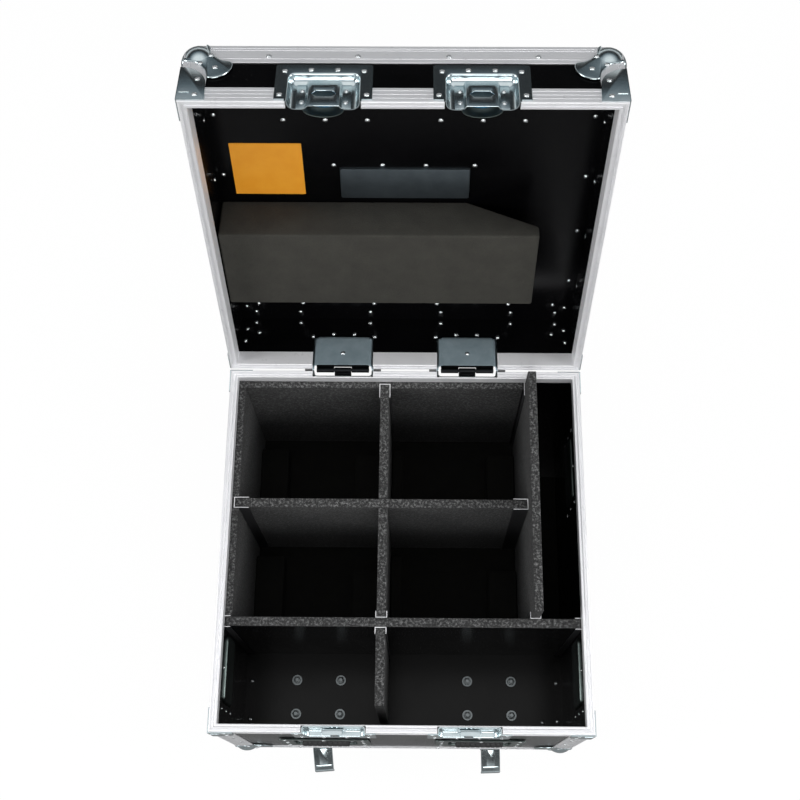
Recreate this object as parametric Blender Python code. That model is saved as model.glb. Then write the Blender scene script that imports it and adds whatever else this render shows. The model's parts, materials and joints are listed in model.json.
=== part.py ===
"""Lighting flight case: a laminated board case on four casters with a hinged lid and lift-out dividers.

Metres, +Z up, front towards -Y. The pieces are laid out from the middle of the base's rim, with the lid
closed; the lid's carrier then opens it, and the root puts the middle of the footprint at the origin.
"""

import math

import bmesh
import bpy
from mathutils import Matrix, Vector

# Overall sizes
case_width = 0.600
case_depth = 0.600
base_height = 0.345
lid_height = 0.114
lid_open_angle = math.radians(105)
gap = 0.0003
overrun = 0.010
weld_distance = 0.000003

# Boards and aluminium profiles
panel_thickness = 0.009
profile_thickness = 0.0015
rim_leg = 0.028
rim_inner_leg = 0.0195
edge_leg = 0.035
ridge_width = 0.0025
ridge_height = 0.0015
ridge_clearance = 0.0006
angle_trim = 0.016
board_trim = 0.0105

# Recessed dishes: latches, hinges and handles
recess_depth = 0.0145
sheet = 0.0015
dish_radius = 0.009
dish_clearance = 0.0012
latch_spacing = 0.212
hinge_spacing = 0.214
flange_width = 0.131
latch_dish_width = 0.0986
latch_dish_low = 0.060
latch_dish_high = 0.0555
flange_margin = 0.017
flange_rim_step = 0.004

# Casters
caster_inset_x = 0.144
caster_inset_y = 0.088
caster_height = 0.128
wheel_diameter = 0.100
wheel_width = 0.036
caster_trail = 0.038
front_left_yaw = math.radians(4.6)
front_right_yaw = math.radians(2.3)
rear_left_yaw = math.radians(-6.0)
rear_right_yaw = math.radians(5.0)

# Carpeted dividers and linings
lining_thickness = 0.013
lining_top = -0.021
cross_divider_thickness = 0.015
upright_divider_thickness = 0.0153
side_divider_thickness = 0.014
side_divider_rise = 0.038
channel_thickness = 0.0012

floor_sheet_thickness = 0.010

# Worked out from the sizes above
half_width = case_width / 2
half_depth = case_depth / 2
skin = profile_thickness + gap
panel_out_x = half_width - skin
panel_out_y = half_depth - skin
panel_in_x = panel_out_x - panel_thickness
panel_in_y = panel_out_y - panel_thickness
profile_width = 2 * skin + panel_thickness
plate_face = gap + sheet
recess_back = half_depth + gap - recess_depth
shallow_back = panel_in_y + gap
base_bottom = -base_height
floor_low = base_bottom + skin
floor_top = floor_low + panel_thickness
ridge_web = profile_thickness + ridge_height + gap
lid_web = gap + ridge_web
lid_inside = lid_height - skin - panel_thickness
caster_plate_top = floor_low - gap

colours = {
    "laminate": ((0.012, 0.012, 0.013, 1), 0.18, 0.0),
    "aluminium": ((0.78, 0.78, 0.79, 1), 0.32, 1.0),
    "zinc": ((0.72, 0.76, 0.78, 1), 0.22, 1.0),
    "carpet": ((0.055, 0.055, 0.055, 1), 0.95, 0.0),
    "foam": ((0.050, 0.048, 0.042, 1), 0.95, 0.0),
    "rubber": ((0.030, 0.030, 0.031, 1), 0.70, 0.0),
}
made_materials = {}


def clear_scene():
    for thing in list(bpy.data.objects):
        bpy.data.objects.remove(thing, do_unlink=True)


def material(name):
    if name not in made_materials:
        colour, roughness, metallic = colours[name]
        made = bpy.data.materials.new(name)
        made.use_nodes = True
        surface = made.node_tree.nodes["Principled BSDF"]
        surface.inputs["Base Color"].default_value = colour
        surface.inputs["Roughness"].default_value = roughness
        surface.inputs["Metallic"].default_value = metallic
        made_materials[name] = made
    return made_materials[name]


# Shapes as bmeshes


def closed_loft(lower, upper):
    """A closed solid between two outlines with the same number of points."""
    solid = bmesh.new()
    low = [solid.verts.new(point) for point in lower]
    high = [solid.verts.new(point) for point in upper]
    solid.faces.new(low[::-1])
    solid.faces.new(high)
    for index in range(len(low)):
        after = (index + 1) % len(low)
        solid.faces.new((low[index], low[after], high[after], high[index]))
    bmesh.ops.recalc_face_normals(solid, faces=solid.faces)
    return solid


def box(low, high):
    (x0, y0, z0), (x1, y1, z1) = low, high
    outline = ((x0, y0), (x1, y0), (x1, y1), (x0, y1))
    return closed_loft([(x, y, z0) for x, y in outline], [(x, y, z1) for x, y in outline])


def prism(outline, low, high, axis="Z"):
    """An outline drawn across an axis (YZ for X, XZ for Y, XY for Z), carried from low to high along it."""
    place = {
        "X": lambda u, v, along: (along, u, v),
        "Y": lambda u, v, along: (u, along, v),
        "Z": lambda u, v, along: (u, v, along),
    }[axis]
    return closed_loft(
        [place(u, v, low) for u, v in outline], [place(u, v, high) for u, v in outline]
    )


def disc_outline(radius, sides, centre=(0, 0)):
    turns = [math.tau * (step + 0.5) / sides for step in range(sides)]
    return [(centre[0] + radius * math.cos(t), centre[1] + radius * math.sin(t)) for t in turns]


def rod(radius, low, high, axis, centre=(0, 0), sides=12):
    return prism(disc_outline(radius, sides, centre), low, high, axis)


def turned(profile, sides):
    """(radius, height) points, top to bottom, turned about Z. The first and last lie on the axis."""
    solid = bmesh.new()
    rings = []
    for radius, height in profile:
        if radius == 0:
            rings.append([solid.verts.new((0, 0, height))])
            continue
        ring = disc_outline(radius, sides)
        rings.append([solid.verts.new((x, y, height)) for x, y in ring])
    for upper, lower in zip(rings, rings[1:]):
        for index in range(sides):
            after = (index + 1) % sides
            corners = [lower[index % len(lower)], lower[after % len(lower)]]
            corners += [upper[after % len(upper)], upper[index % len(upper)]]
            solid.faces.new(list(dict.fromkeys(corners)))
    bmesh.ops.recalc_face_normals(solid, faces=solid.faces)
    return solid


def rounded_outline(low, high, radius, steps=2):
    """A rectangle with round corners, anticlockwise."""
    (x0, z0), (x1, z1) = low, high
    centres = ((x1 - radius, z1 - radius), (x0 + radius, z1 - radius))
    centres += ((x0 + radius, z0 + radius), (x1 - radius, z0 + radius))
    points = []
    for quarter, (cx, cz) in enumerate(centres):
        for step in range(steps + 1):
            turn = math.tau / 4 * (quarter + step / steps)
            points.append((cx + radius * math.cos(turn), cz + radius * math.sin(turn)))
    return points


def moved(solid, matrix):
    """A copy of a solid at another place, also a mirrored one."""
    copy = solid.copy()
    bmesh.ops.transform(copy, matrix=matrix, verts=copy.verts)
    if matrix.determinant() < 0:
        bmesh.ops.reverse_faces(copy, faces=copy.faces)
    return copy


def shifted(solid, x=0, y=0, z=0):
    return moved(solid, Matrix.Translation((x, y, z)))


def mirrored(solid, axis):
    scale = Vector([-1 if axis == name else 1 for name in "XYZ"])
    return moved(solid, Matrix.Diagonal(scale).to_4x4())


def gathered(solids):
    """Separate solids in one mesh."""
    result = bmesh.new()
    for solid in solids:
        mesh = bpy.data.meshes.new("piece")
        solid.to_mesh(mesh)
        result.from_mesh(mesh)
        bpy.data.meshes.remove(mesh)
    return result


def combined(operation, first, second):
    helpers = []
    for solid in (first, second):
        mesh = bpy.data.meshes.new("helper")
        solid.to_mesh(mesh)
        helper = bpy.data.objects.new("helper", mesh)
        bpy.context.scene.collection.objects.link(helper)
        helpers.append(helper)
    join = helpers[0].modifiers.new("join", "BOOLEAN")
    join.operation = operation
    join.solver = "EXACT"
    join.object = helpers[1]
    result = bmesh.new()
    result.from_object(helpers[0], bpy.context.evaluated_depsgraph_get())
    for helper in helpers:
        mesh = helper.data
        bpy.data.objects.remove(helper)
        bpy.data.meshes.remove(mesh)
    bmesh.ops.dissolve_degenerate(result, dist=weld_distance, edges=result.edges)
    return result


def cut(solid, *tools):
    for tool in tools:
        solid = combined("DIFFERENCE", solid, tool)
    return solid


def fused(solid, *others):
    for other in others:
        solid = combined("UNION", solid, other)
    return solid


# Objects, and the empties that carry the moving ones


def node(name, finish, solid, carrier):
    """One named piece, hung on its carrier without moving it."""
    mesh = bpy.data.meshes.new(name)
    solid.to_mesh(mesh)
    mesh.shade_smooth()
    mesh.set_sharp_from_angle(angle=math.radians(35))
    mesh.materials.append(material(finish))
    made = bpy.data.objects.new(name, mesh)
    bpy.context.scene.collection.objects.link(made)
    hang(made, carrier)
    return made


def hang(thing, carrier):
    thing.parent = carrier
    thing.matrix_parent_inverse = Matrix.Translation(-Vector(carrier["centre"]))


def carrier_at(name, centre, parent=None, rotation=(0, 0, 0)):
    """An empty on a joint's axis. What hangs on it is drawn as if its rotation were zero."""
    made = bpy.data.objects.new(name, None)
    made.empty_display_size = panel_thickness
    made["centre"] = [float(value) for value in centre]
    made.location = centre
    made.rotation_euler = rotation
    bpy.context.scene.collection.objects.link(made)
    if parent:
        hang(made, parent)
    return made


# Sheet metal dishes pressed into the walls, drawn for the front wall around x = z = 0


def dish(width, low, high, flange_low, flange_high, flange_half, back=-recess_back):
    """A flanged tray that opens towards -Y, on the outer face of the front wall's profiles."""
    face = -half_depth - gap
    tray = prism(
        rounded_outline((-width / 2, low), (width / 2, high), dish_radius), face - sheet / 2, back, "Y"
    )
    hollow = prism(
        rounded_outline(
            (-width / 2 + sheet, low + sheet),
            (width / 2 - sheet, high - sheet),
            dish_radius - sheet,
        ),
        face - overrun,
        back - sheet,
        "Y",
    )
    flange = prism(
        rounded_outline((-flange_half, flange_low), (flange_half, flange_high), dish_radius / 2, 1),
        face - sheet,
        face,
        "Y",
    )
    return cut(fused(flange, tray), hollow)


def below_rim(solid):
    """Keeps what lies under the parting plane."""
    reach = case_width
    return cut(solid, box((-reach, -reach, -gap), (reach, reach, reach)))


def above_rim(solid):
    """Keeps what lies over the parting plane, a gap clear of the base's rim."""
    reach = case_width
    return cut(solid, box((-reach, -reach, -reach), (reach, reach, 2 * gap)))


def turned_to(wall):
    """The front wall's place, turned about Z to another wall."""
    quarter = {"front": 0, "right": 1, "back": 2, "left": 3}[wall]
    return Matrix.Rotation(quarter * math.tau / 4, 4, "Z")


# Handles

handle_dish_width = 0.108
handle_dish_height = 0.080
handle_flange_side = 0.021
handle_flange_end = 0.015
handle_pivot_rise = 0.029
handle_pivot_y = -half_depth + 0.0025
bail_side_clearance = 0.006
bail_leg_width = 0.006
bail_thickness = 0.004
bail_drop = 0.046
stub_radius = 0.0020
stub_clearance = 0.0004
grip_radius = 0.009
grip_end_clearance = 0.0015
grip_sides = 12
bail_half_width = handle_dish_width / 2 - bail_side_clearance
grip_half_length = bail_half_width - bail_leg_width - grip_end_clearance

front_handle_x = 0.130
front_handle_z = -0.188
side_handle_z = -0.105
side_handle_front_inset = 0.105
side_handle_rear_inset = 0.150
side_handle_front_y = side_handle_front_inset - half_depth
side_handle_rear_y = half_depth - side_handle_rear_inset

handle_places = {
    "handle_front_left": ("front", -front_handle_x, front_handle_z),
    "handle_front_right": ("front", front_handle_x, front_handle_z),
    "handle_left_front": ("left", -side_handle_front_y, side_handle_z),
    "handle_left_rear": ("left", -side_handle_rear_y, side_handle_z),
    "handle_right_front": ("right", side_handle_front_y, side_handle_z),
    "handle_right_rear": ("right", side_handle_rear_y, side_handle_z),
}


def handle_matrix(place):
    """From the front wall to a handle's place on its own wall."""
    wall, along, height = place
    wall_face = half_width if wall in ("left", "right") else half_depth
    return turned_to(wall) @ Matrix.Translation((along, half_depth - wall_face, height))


def handle_dish():
    half = handle_dish_height / 2
    end = half + handle_flange_end
    flange_half = handle_dish_width / 2 + handle_flange_side
    shell = dish(handle_dish_width, -half, half, -end, end, flange_half)
    bore = rod(
        stub_radius + stub_clearance,
        -handle_dish_width,
        handle_dish_width,
        "X",
        (handle_pivot_y, handle_pivot_rise),
    )
    return cut(shell, bore)


def handle_bail():
    """The spring handle hanging in its dish: a flat bail with round stubs, and its grip."""
    half = bail_half_width
    leg = bail_leg_width
    top = handle_pivot_rise + leg / 2
    bottom = handle_pivot_rise - bail_drop - leg / 2
    outline = [(-half, top), (-half, bottom), (half, bottom), (half, top)]
    outline += [(half - leg, top), (half - leg, bottom + leg)]
    outline += [(-half + leg, bottom + leg), (-half + leg, top)]
    near = handle_pivot_y - bail_thickness / 2
    bail = prism(outline, near, near + bail_thickness, "Y")
    centre = (handle_pivot_y, handle_pivot_rise)
    reach = handle_dish_width / 2 + gap
    for side in (-1, 1):
        ends = sorted((side * (half - leg / 2), side * reach))
        bail = fused(bail, rod(stub_radius, ends[0], ends[1], "X", centre))
    grip_centre = (handle_pivot_y, bottom + leg / 2)
    grip = rod(grip_radius, -grip_half_length, grip_half_length, "X", grip_centre, grip_sides)
    return fused(bail, grip)


def handle_cutter():
    half_x = handle_dish_width / 2 + dish_clearance
    half_z = handle_dish_height / 2 + dish_clearance
    return box((-half_x, -half_depth - overrun, -half_z), (half_x, -panel_in_y + overrun, half_z))


def make_handles(root):
    shell = handle_dish()
    bail = handle_bail()
    places = {name: handle_matrix(place) for name, place in handle_places.items()}
    for name, place in places.items():
        node(name.replace("handle", "handle_dish"), "zinc", moved(shell, place), root)
        axis = place @ Vector((0, handle_pivot_y, handle_pivot_rise))
        pivot = carrier_at(name + "_axis", axis, root)
        node(name, "rubber", moved(bail, place), pivot)


# Latches: key and hook on the base, keeper on the lid

key_height = -0.035
key_boss_radius = 0.008
key_wing_half = 0.0185
key_wing_width = 0.015
key_waist = 0.007
key_boss_depth = 0.0075
key_wing_thickness = 0.0025
hook_pivot_y = -half_depth + 0.0048
hook_pivot_z = -0.0085
hook_half_width = 0.0155
hook_thickness = 0.002
hook_front = -half_depth + 0.0025
hook_nose_low = 0.0232
hook_nose_high = 0.0281
hook_nose_reach = 0.0068
hook_barrel_radius = 0.0036
hook_pin_radius = 0.002
hook_pin_clearance = 0.0003
hook_release = math.radians(12)
ear_thickness = 0.0025
ear_clearance = 0.0012
ear_height = 0.008
keeper_half_width = 0.037
keeper_low = 0.0012
keeper_high = 0.051
keeper_rise = 0.0045
keeper_raised_half = 0.0238
slot_half_width = 0.0170
slot_low = 0.0194
slot_high = 0.0314
bulge_half_width = 0.028
bulge_depth = 0.0140
bulge_height = 0.040

latch_sides = {"left": -latch_spacing / 2, "right": latch_spacing / 2}


def latch_dish():
    """The base half's dish, with two ears and the pin that the hook turns on."""
    shell = dish(
        latch_dish_width,
        -latch_dish_low,
        latch_dish_high,
        -latch_dish_low - flange_margin,
        -flange_rim_step,
        flange_width / 2,
        -shallow_back,
    )
    shell = below_rim(shell)
    inner = -shallow_back - sheet
    reach = hook_half_width + ear_clearance + ear_thickness
    centre = (hook_pivot_y, hook_pivot_z)
    parts = [rod(hook_pin_radius, -reach, reach, "X", centre, 8)]
    for side in (-1, 1):
        ends = sorted((side * (reach - ear_thickness), side * reach))
        low = (ends[0], hook_pivot_y - ear_height / 2, hook_pivot_z - ear_height / 2)
        parts.append(box(low, (ends[1], inner + sheet / 2, hook_pivot_z + ear_height / 2)))
    return fused(shell, *parts[1:], parts[0])


def latch_key():
    """The folding wing of the latch, on its boss. Its axis runs along Y."""
    back = -shallow_back - sheet - gap
    face = back - key_boss_depth
    boss = rod(key_boss_radius, face - key_wing_thickness / 2, back, "Y", (0, key_height))
    half = key_wing_half
    wide = key_wing_width / 2
    waist = key_waist / 2
    outline = [(-wide, half - waist), (-waist, half), (waist, half), (wide, half - waist)]
    outline += [(waist, 0), (wide, waist - half), (waist, -half), (-waist, -half)]
    outline += [(-wide, waist - half), (-waist, 0)]
    outline = [(x, z + key_height) for x, z in outline]
    wing = prism(outline, face - key_wing_thickness, face, "Y")
    return fused(boss, wing)


def latch_hook():
    """The hook stands engaged here; its carrier leans it out to the released rest."""
    back = hook_front + hook_thickness
    outline = [(hook_front, hook_pivot_z), (hook_front, hook_nose_high)]
    outline += [(hook_front + hook_nose_reach, hook_nose_high - hook_thickness)]
    outline += [(hook_front + hook_nose_reach, hook_nose_low), (back, hook_nose_low)]
    outline += [(back, hook_pivot_z)]
    arm = prism(outline[::-1], -hook_half_width, hook_half_width, "X")
    centre = (hook_pivot_y, hook_pivot_z)
    barrel = rod(hook_barrel_radius, -hook_half_width, hook_half_width, "X", centre, 10)
    hole = rod(hook_pin_radius + hook_pin_clearance, -overrun * 2, overrun * 2, "X", centre, 8)
    return cut(fused(barrel, arm), hole)


def keeper_half():
    """The lid half: its dish, the rounded pocket behind it and the slotted plate riveted inside it."""
    shell = above_rim(
        dish(
            latch_dish_width,
            -latch_dish_low,
            latch_dish_high,
            flange_rim_step,
            latch_dish_high + flange_margin,
            flange_width / 2,
        )
    )
    pocket = prism(bulge_outline(bulge_half_width, bulge_depth), 2 * gap, bulge_height)
    hollow = prism(
        bulge_outline(bulge_half_width - sheet, bulge_depth - sheet), -overrun, bulge_height - sheet
    )
    return fused(cut(fused(shell, pocket), hollow), keeper_plate())


def bulge_outline(half, depth):
    steps = 8
    start = -recess_back - sheet - gap
    arc = []
    for step in range(steps + 1):
        turn = math.pi * step / steps
        arc.append((half * math.cos(turn), -recess_back + depth * math.sin(turn)))
    return [(half, start), *arc, (-half, start)]


def keeper_plate():
    """A plate with a raised, slotted middle that the hook's nose enters."""
    back = -recess_back - sheet / 2
    flat = back - sheet
    raised = flat - keeper_rise
    wide = keeper_half_width
    half = keeper_raised_half
    outline = [(wide, back), (half - sheet, back), (half - sheet, raised + sheet)]
    outline += [(sheet - half, raised + sheet), (sheet - half, back), (-wide, back)]
    outline += [(-wide, flat), (-half, flat), (-half, raised), (half, raised), (half, flat)]
    outline += [(wide, flat)]
    plate = prism(outline, keeper_low, keeper_high)
    slot = box(
        (-slot_half_width, raised - overrun, slot_low),
        (slot_half_width, raised + sheet + gap, slot_high),
    )
    return cut(plate, slot)


def latch_cutters(low, high, depth):
    """Cut-outs in the front wall for both latch halves, as deep into the case as y = -depth."""
    half = latch_dish_width / 2 + dish_clearance
    cutter = box((-half, -half_depth - overrun, low), (half, -depth, high))
    return gathered([shifted(cutter, x) for x in latch_sides.values()])


def make_latches(root, lid):
    shell, key, hook = latch_dish(), latch_key(), latch_hook()
    keeper = keeper_half()
    for side, x in latch_sides.items():
        node("latch_dish_" + side, "zinc", shifted(shell, x), root)
        key_axis = carrier_at("latch_key_axis_" + side, (x, hook_pivot_y, key_height), root)
        node("latch_key_" + side, "zinc", shifted(key, x), key_axis)
        pivot = (x, hook_pivot_y, hook_pivot_z)
        leaning = carrier_at("latch_hook_axis_" + side, pivot, root, (hook_release, 0, 0))
        node("latch_hook_" + side, "zinc", shifted(hook, x), leaning)
        node("latch_keeper_" + side, "zinc", shifted(keeper, x), lid)


# Hinges with a built-in stay, in dishes on the back wall

hinge_offset = 0.0015
hinge_axis_y = half_depth + hinge_offset
hinge_pin_radius = 0.0025
knuckle_radius = 0.0045
knuckle_clearance = 0.0003
hinge_dish_width = 0.1015
hinge_dish_high = 0.065
hinge_dish_low = 0.045
knuckle_inner = 0.0150
knuckle_outer = 0.0450
strap_reach = 0.0300
strap_thickness = 0.0020
strap_bend = 0.0110
hinge_sides = {"left": -hinge_spacing / 2, "right": hinge_spacing / 2}


def knuckle(low, high):
    return rod(knuckle_radius, low, high, "X", (hinge_axis_y, 0), 10)


def strap(low, high, up, seat):
    """From the knuckle to the back of the dish, upwards for the lid and downwards for the base."""
    near = hinge_axis_y - knuckle_radius
    outline = [(near + sheet / 2, -sheet / 2), (hinge_axis_y - sheet / 2, knuckle_radius - sheet / 2)]
    outline += [(seat + strap_thickness, strap_bend), (seat + strap_thickness, strap_reach)]
    outline += [(seat - sheet / 2, strap_reach), (seat - sheet / 2, strap_bend - strap_thickness)]
    outline = [(y, up * z) for y, z in outline]
    return prism(outline, low, high, "X")


def lid_leaf():
    shell = dish(
        hinge_dish_width,
        -hinge_dish_low,
        hinge_dish_high,
        flange_rim_step,
        hinge_dish_high + flange_margin,
        flange_width / 2,
    )
    leaf = moved(above_rim(shell), turned_to("back"))
    for side in (-1, 1):
        low, high = sorted((side * knuckle_inner, side * knuckle_outer))
        leaf = fused(leaf, fused(knuckle(low, high), strap(low, high, 1, recess_back + sheet)))
    reach = knuckle_outer + overrun
    hole = rod(hinge_pin_radius + knuckle_clearance, -reach, reach, "X", (hinge_axis_y, 0), 10)
    return cut(leaf, hole)


def base_leaf():
    """The base half carries the pin that both halves turn on."""
    shell = dish(
        hinge_dish_width,
        -hinge_dish_low,
        hinge_dish_high,
        -hinge_dish_low - flange_margin,
        -flange_rim_step,
        flange_width / 2,
        -shallow_back,
    )
    leaf = moved(below_rim(shell), turned_to("back"))
    half = knuckle_inner - knuckle_clearance * 2
    leaf = fused(leaf, fused(knuckle(-half, half), strap(-half, half, -1, shallow_back + sheet)))
    reach = knuckle_outer + gap
    return fused(leaf, rod(hinge_pin_radius, -reach, reach, "X", (hinge_axis_y, 0), 10))


def hinge_cutters(low, high, depth):
    """Cut-outs in the back wall for both hinges, as deep into the case as y = depth."""
    half = hinge_dish_width / 2 + dish_clearance
    cutter = box((-half, depth, low), (half, half_depth + overrun, high))
    return gathered([shifted(cutter, x) for x in hinge_sides.values()])


def base_cutters(depth):
    hinge_low = -hinge_dish_low - dish_clearance
    latch_low = -latch_dish_low - dish_clearance
    return [latch_cutters(latch_low, overrun, depth), hinge_cutters(hinge_low, overrun, depth)]


def lid_cutters(depth):
    hinge_high = hinge_dish_high + dish_clearance
    latch_high = latch_dish_high + dish_clearance
    return [latch_cutters(-overrun, latch_high, depth), hinge_cutters(-overrun, hinge_high, depth)]


def make_hinges(root, lid):
    lower, upper = base_leaf(), lid_leaf()
    for side, x in hinge_sides.items():
        node("hinge_base_leaf_" + side, "zinc", shifted(lower, x), root)
        node("hinge_lid_leaf_" + side, "zinc", shifted(upper, x), lid)


# Boards

caster_bolt_spacing_x = 0.080
caster_bolt_spacing_y = 0.060
bolt_hole_radius = 0.0042
label_centre_x = 0.0007
label_back_margin = 0.3373
label_centre_y = panel_in_y - label_back_margin
label_width = 0.198
label_depth_y = 0.0615


def caster_places():
    half_x, half_y = half_width - caster_inset_x, half_depth - caster_inset_y
    return {
        "front_left": (-half_x, -half_y, front_left_yaw),
        "front_right": (half_x, -half_y, front_right_yaw),
        "rear_left": (-half_x, half_y, rear_left_yaw),
        "rear_right": (half_x, half_y, rear_right_yaw),
    }


def bolt_places():
    half_x, half_y = caster_bolt_spacing_x / 2, caster_bolt_spacing_y / 2
    offsets = [(sx * half_x, sy * half_y) for sx in (-1, 1) for sy in (-1, 1)]
    return [(x + dx, y + dy) for x, y, _ in caster_places().values() for dx, dy in offsets]


def corner_blocks(height, up, trim):
    """Blocks over the four outer corners at one height, where the ball corners sit."""
    blocks = []
    for sx in (-1, 1):
        for sy in (-1, 1):
            x = sorted((sx * (half_width - trim), sx * (half_width + overrun)))
            y = sorted((sy * (half_depth - trim), sy * (half_depth + overrun)))
            z = sorted((height - up * trim, height + up * overrun))
            blocks.append(box((x[0], y[0], z[0]), (x[1], y[1], z[1])))
    return gathered(blocks)


def make_base_shell(root):
    """The floor and the four walls, glued, with the channels for the dividers screwed to the walls."""
    shell = box((-panel_out_x, -panel_out_y, floor_low), (panel_out_x, panel_out_y, -skin))
    inside = box((-panel_in_x, -panel_in_y, floor_top), (panel_in_x, panel_in_y, overrun))
    holes = [
        rod(bolt_hole_radius, floor_low - overrun, floor_top + overrun, "Z", place, 8)
        for place in bolt_places()
    ]
    handle = handle_cutter()
    holes += [moved(handle, handle_matrix(place)) for place in handle_places.values()]
    shell = cut(shell, inside, gathered(holes), corner_blocks(base_bottom, -1, board_trim))
    shell = cut(shell, *base_cutters(panel_in_y - overrun))
    node("base_shell", "laminate", fused(shell, *wall_channels()), root)


def make_lid_shell(lid):
    """The lid's top panel and four walls, glued, with a window for the label dish."""
    shell = box(
        (-panel_out_x, -panel_out_y, lid_web + gap), (panel_out_x, panel_out_y, lid_height - skin)
    )
    inside = box((-panel_in_x, -panel_in_y, -overrun), (panel_in_x, panel_in_y, lid_inside))
    half_x = label_width / 2 + dish_clearance
    half_y = label_depth_y / 2 + dish_clearance
    label = box(
        (label_centre_x - half_x, label_centre_y - half_y, lid_inside - overrun),
        (label_centre_x + half_x, label_centre_y + half_y, lid_height + overrun),
    )
    shell = cut(shell, inside, label, corner_blocks(lid_height, 1, board_trim))
    node("lid_shell", "laminate", cut(shell, *lid_cutters(panel_in_y - overrun)), lid)


# Aluminium profiles


def frame_around(profile):
    """A mitred frame around the case. A profile point is (distance in from the outer face, height)."""
    solid = bmesh.new()
    rings = []
    for sx, sy in ((-1, -1), (1, -1), (1, 1), (-1, 1)):
        points = [(sx * (half_width - inset), sy * (half_depth - inset), z) for inset, z in profile]
        rings.append([solid.verts.new(point) for point in points])
    for ring, following in zip(rings, rings[1:] + rings[:1]):
        for index in range(len(profile)):
            after = (index + 1) % len(profile)
            solid.faces.new((ring[index], ring[after], following[after], following[index]))
    bmesh.ops.recalc_face_normals(solid, faces=solid.faces)
    return solid


def base_rim_outline():
    inner = profile_width - profile_thickness
    ridge = (profile_width - ridge_width) / 2
    outline = [(0, -rim_leg), (0, 0), (ridge, 0), (ridge, ridge_height)]
    outline += [(ridge + ridge_width, ridge_height), (ridge + ridge_width, 0), (profile_width, 0)]
    outline += [(profile_width, -rim_inner_leg), (inner, -rim_inner_leg), (inner, -profile_thickness)]
    outline += [(profile_thickness, -profile_thickness), (profile_thickness, -rim_leg)]
    return outline


def lid_rim_outline():
    inner = profile_width - profile_thickness
    groove = (profile_width - ridge_width) / 2 - ridge_clearance
    groove_top = gap + ridge_height + gap
    outline = [(0, rim_leg), (0, gap), (groove, gap), (groove, groove_top)]
    outline += [(profile_width - groove, groove_top), (profile_width - groove, gap)]
    outline += [(profile_width, gap), (profile_width, rim_leg), (inner, rim_leg), (inner, lid_web)]
    outline += [(profile_thickness, lid_web), (profile_thickness, rim_leg)]
    return outline


def edge_outline(face, up):
    """An equal angle around an outer edge at the height of face; up is the side that the wall lies on."""
    corner = edge_leg - profile_thickness
    outline = [(0, 0), (edge_leg, 0), (edge_leg, profile_thickness)]
    outline += [(profile_thickness, profile_thickness), (profile_thickness, corner), (0, corner)]
    return [(inset, face + up * z) for inset, z in outline]


def corner_angles(low, high):
    """Upright angles on the four corners."""
    outline = [(0, 0), (edge_leg, 0), (edge_leg, profile_thickness)]
    outline += [(profile_thickness, profile_thickness), (profile_thickness, edge_leg), (0, edge_leg)]
    outline = [(x - half_width, y - half_depth) for x, y in outline]
    angle = prism(outline, low, high)
    across = mirrored(angle, "X")
    return [angle, across, mirrored(angle, "Y"), mirrored(across, "Y")]


def make_rims(root, lid):
    """The base's rim is notched and stays one frame; the lid's is cut through into four bars."""
    rim = cut(frame_around(base_rim_outline()), *base_cutters(panel_in_y))
    node("base_rim_profile", "aluminium", rim, root)
    rim = cut(frame_around(lid_rim_outline()), *lid_cutters(panel_in_y - overrun))
    for name, low, high in (
        ("left", (-1, -1), (-1, 1)),
        ("right", (1, -1), (1, 1)),
        ("front", (0, -1), (0, -1)),
        ("back", (0, 1), (0, 1)),
    ):
        node("lid_rim_" + name, "aluminium", combined("INTERSECT", rim, rim_region(low, high)), lid)


def rim_region(low, high):
    """A block around one of the lid's four rim bars. -1, 0 and 1 name the left, middle and right thirds."""
    split = latch_spacing / 2
    outer = half_width + overrun
    spans = {-1: (-outer, -split), 0: (-split, split), 1: (split, outer)}
    x0, x1 = spans[low[0]]
    y0 = 0 if low[1] > 0 else -half_depth - overrun
    y1 = 0 if high[1] < 0 else half_depth + overrun
    return box((x0, y0, -overrun), (x1, y1, lid_height))


def make_edges(root, lid):
    """Edge angles with the corner braces riveted on, and in the base the ball corners too."""
    brace, ball = corner_brace(), ball_corner(-profile_thickness / 2)
    frame = frame_around(edge_outline(base_bottom, 1))
    angles = corner_angles(base_bottom + edge_leg / 2, -rim_leg - gap)
    frame = cut(fused(frame, gathered(angles)), corner_blocks(base_bottom, -1, angle_trim))
    frame = fused(frame, gathered(around_corners(brace, 0, -1)))
    frame = fused(frame, gathered(around_corners(ball, base_bottom, -1)))
    node("base_edge_trim", "aluminium", frame, root)
    frame = frame_around(edge_outline(lid_height, -1))
    angles = corner_angles(rim_leg + gap, lid_height - edge_leg / 2)
    frame = cut(fused(frame, gathered(angles)), corner_blocks(lid_height, 1, angle_trim))
    frame = fused(frame, gathered(around_corners(brace, 0, 1)))
    node("lid_edge_trim", "aluminium", frame, lid)
    names = ("back_right", "back_left", "front_right", "front_left")
    for name, corner in zip(names, around_corners(ball_corner(gap), lid_height, 1)):
        node("lid_ball_corner_" + name, "zinc", corner, lid)


# Ball corners and corner braces

ball_radius = 0.026
ball_inset = 0.019
ball_leg = 0.067
brace_width = 0.037
brace_low = 0.003
brace_high = 0.067
brace_rivet_height = 0.0427
rivet_shank_radius = 0.0024
ball_sides = 10
ball_rings = 6
ball_lobe_shares = (
    (0, 0),
    (0.46, 0),
    (0.55, 0.27),
    (0.76, 0.46),
    (1, 0.55),
    (0.98, 0.79),
    (0.79, 0.98),
    (0.55, 1),
    (0.46, 0.76),
    (0.27, 0.55),
    (0, 0.46),
)
brace_shares = ((0, 0), (1, 0), (0.95, 0.58), (0.81, 0.77), (0.54, 0.91), (0.22, 0.98), (0, 1))


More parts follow.
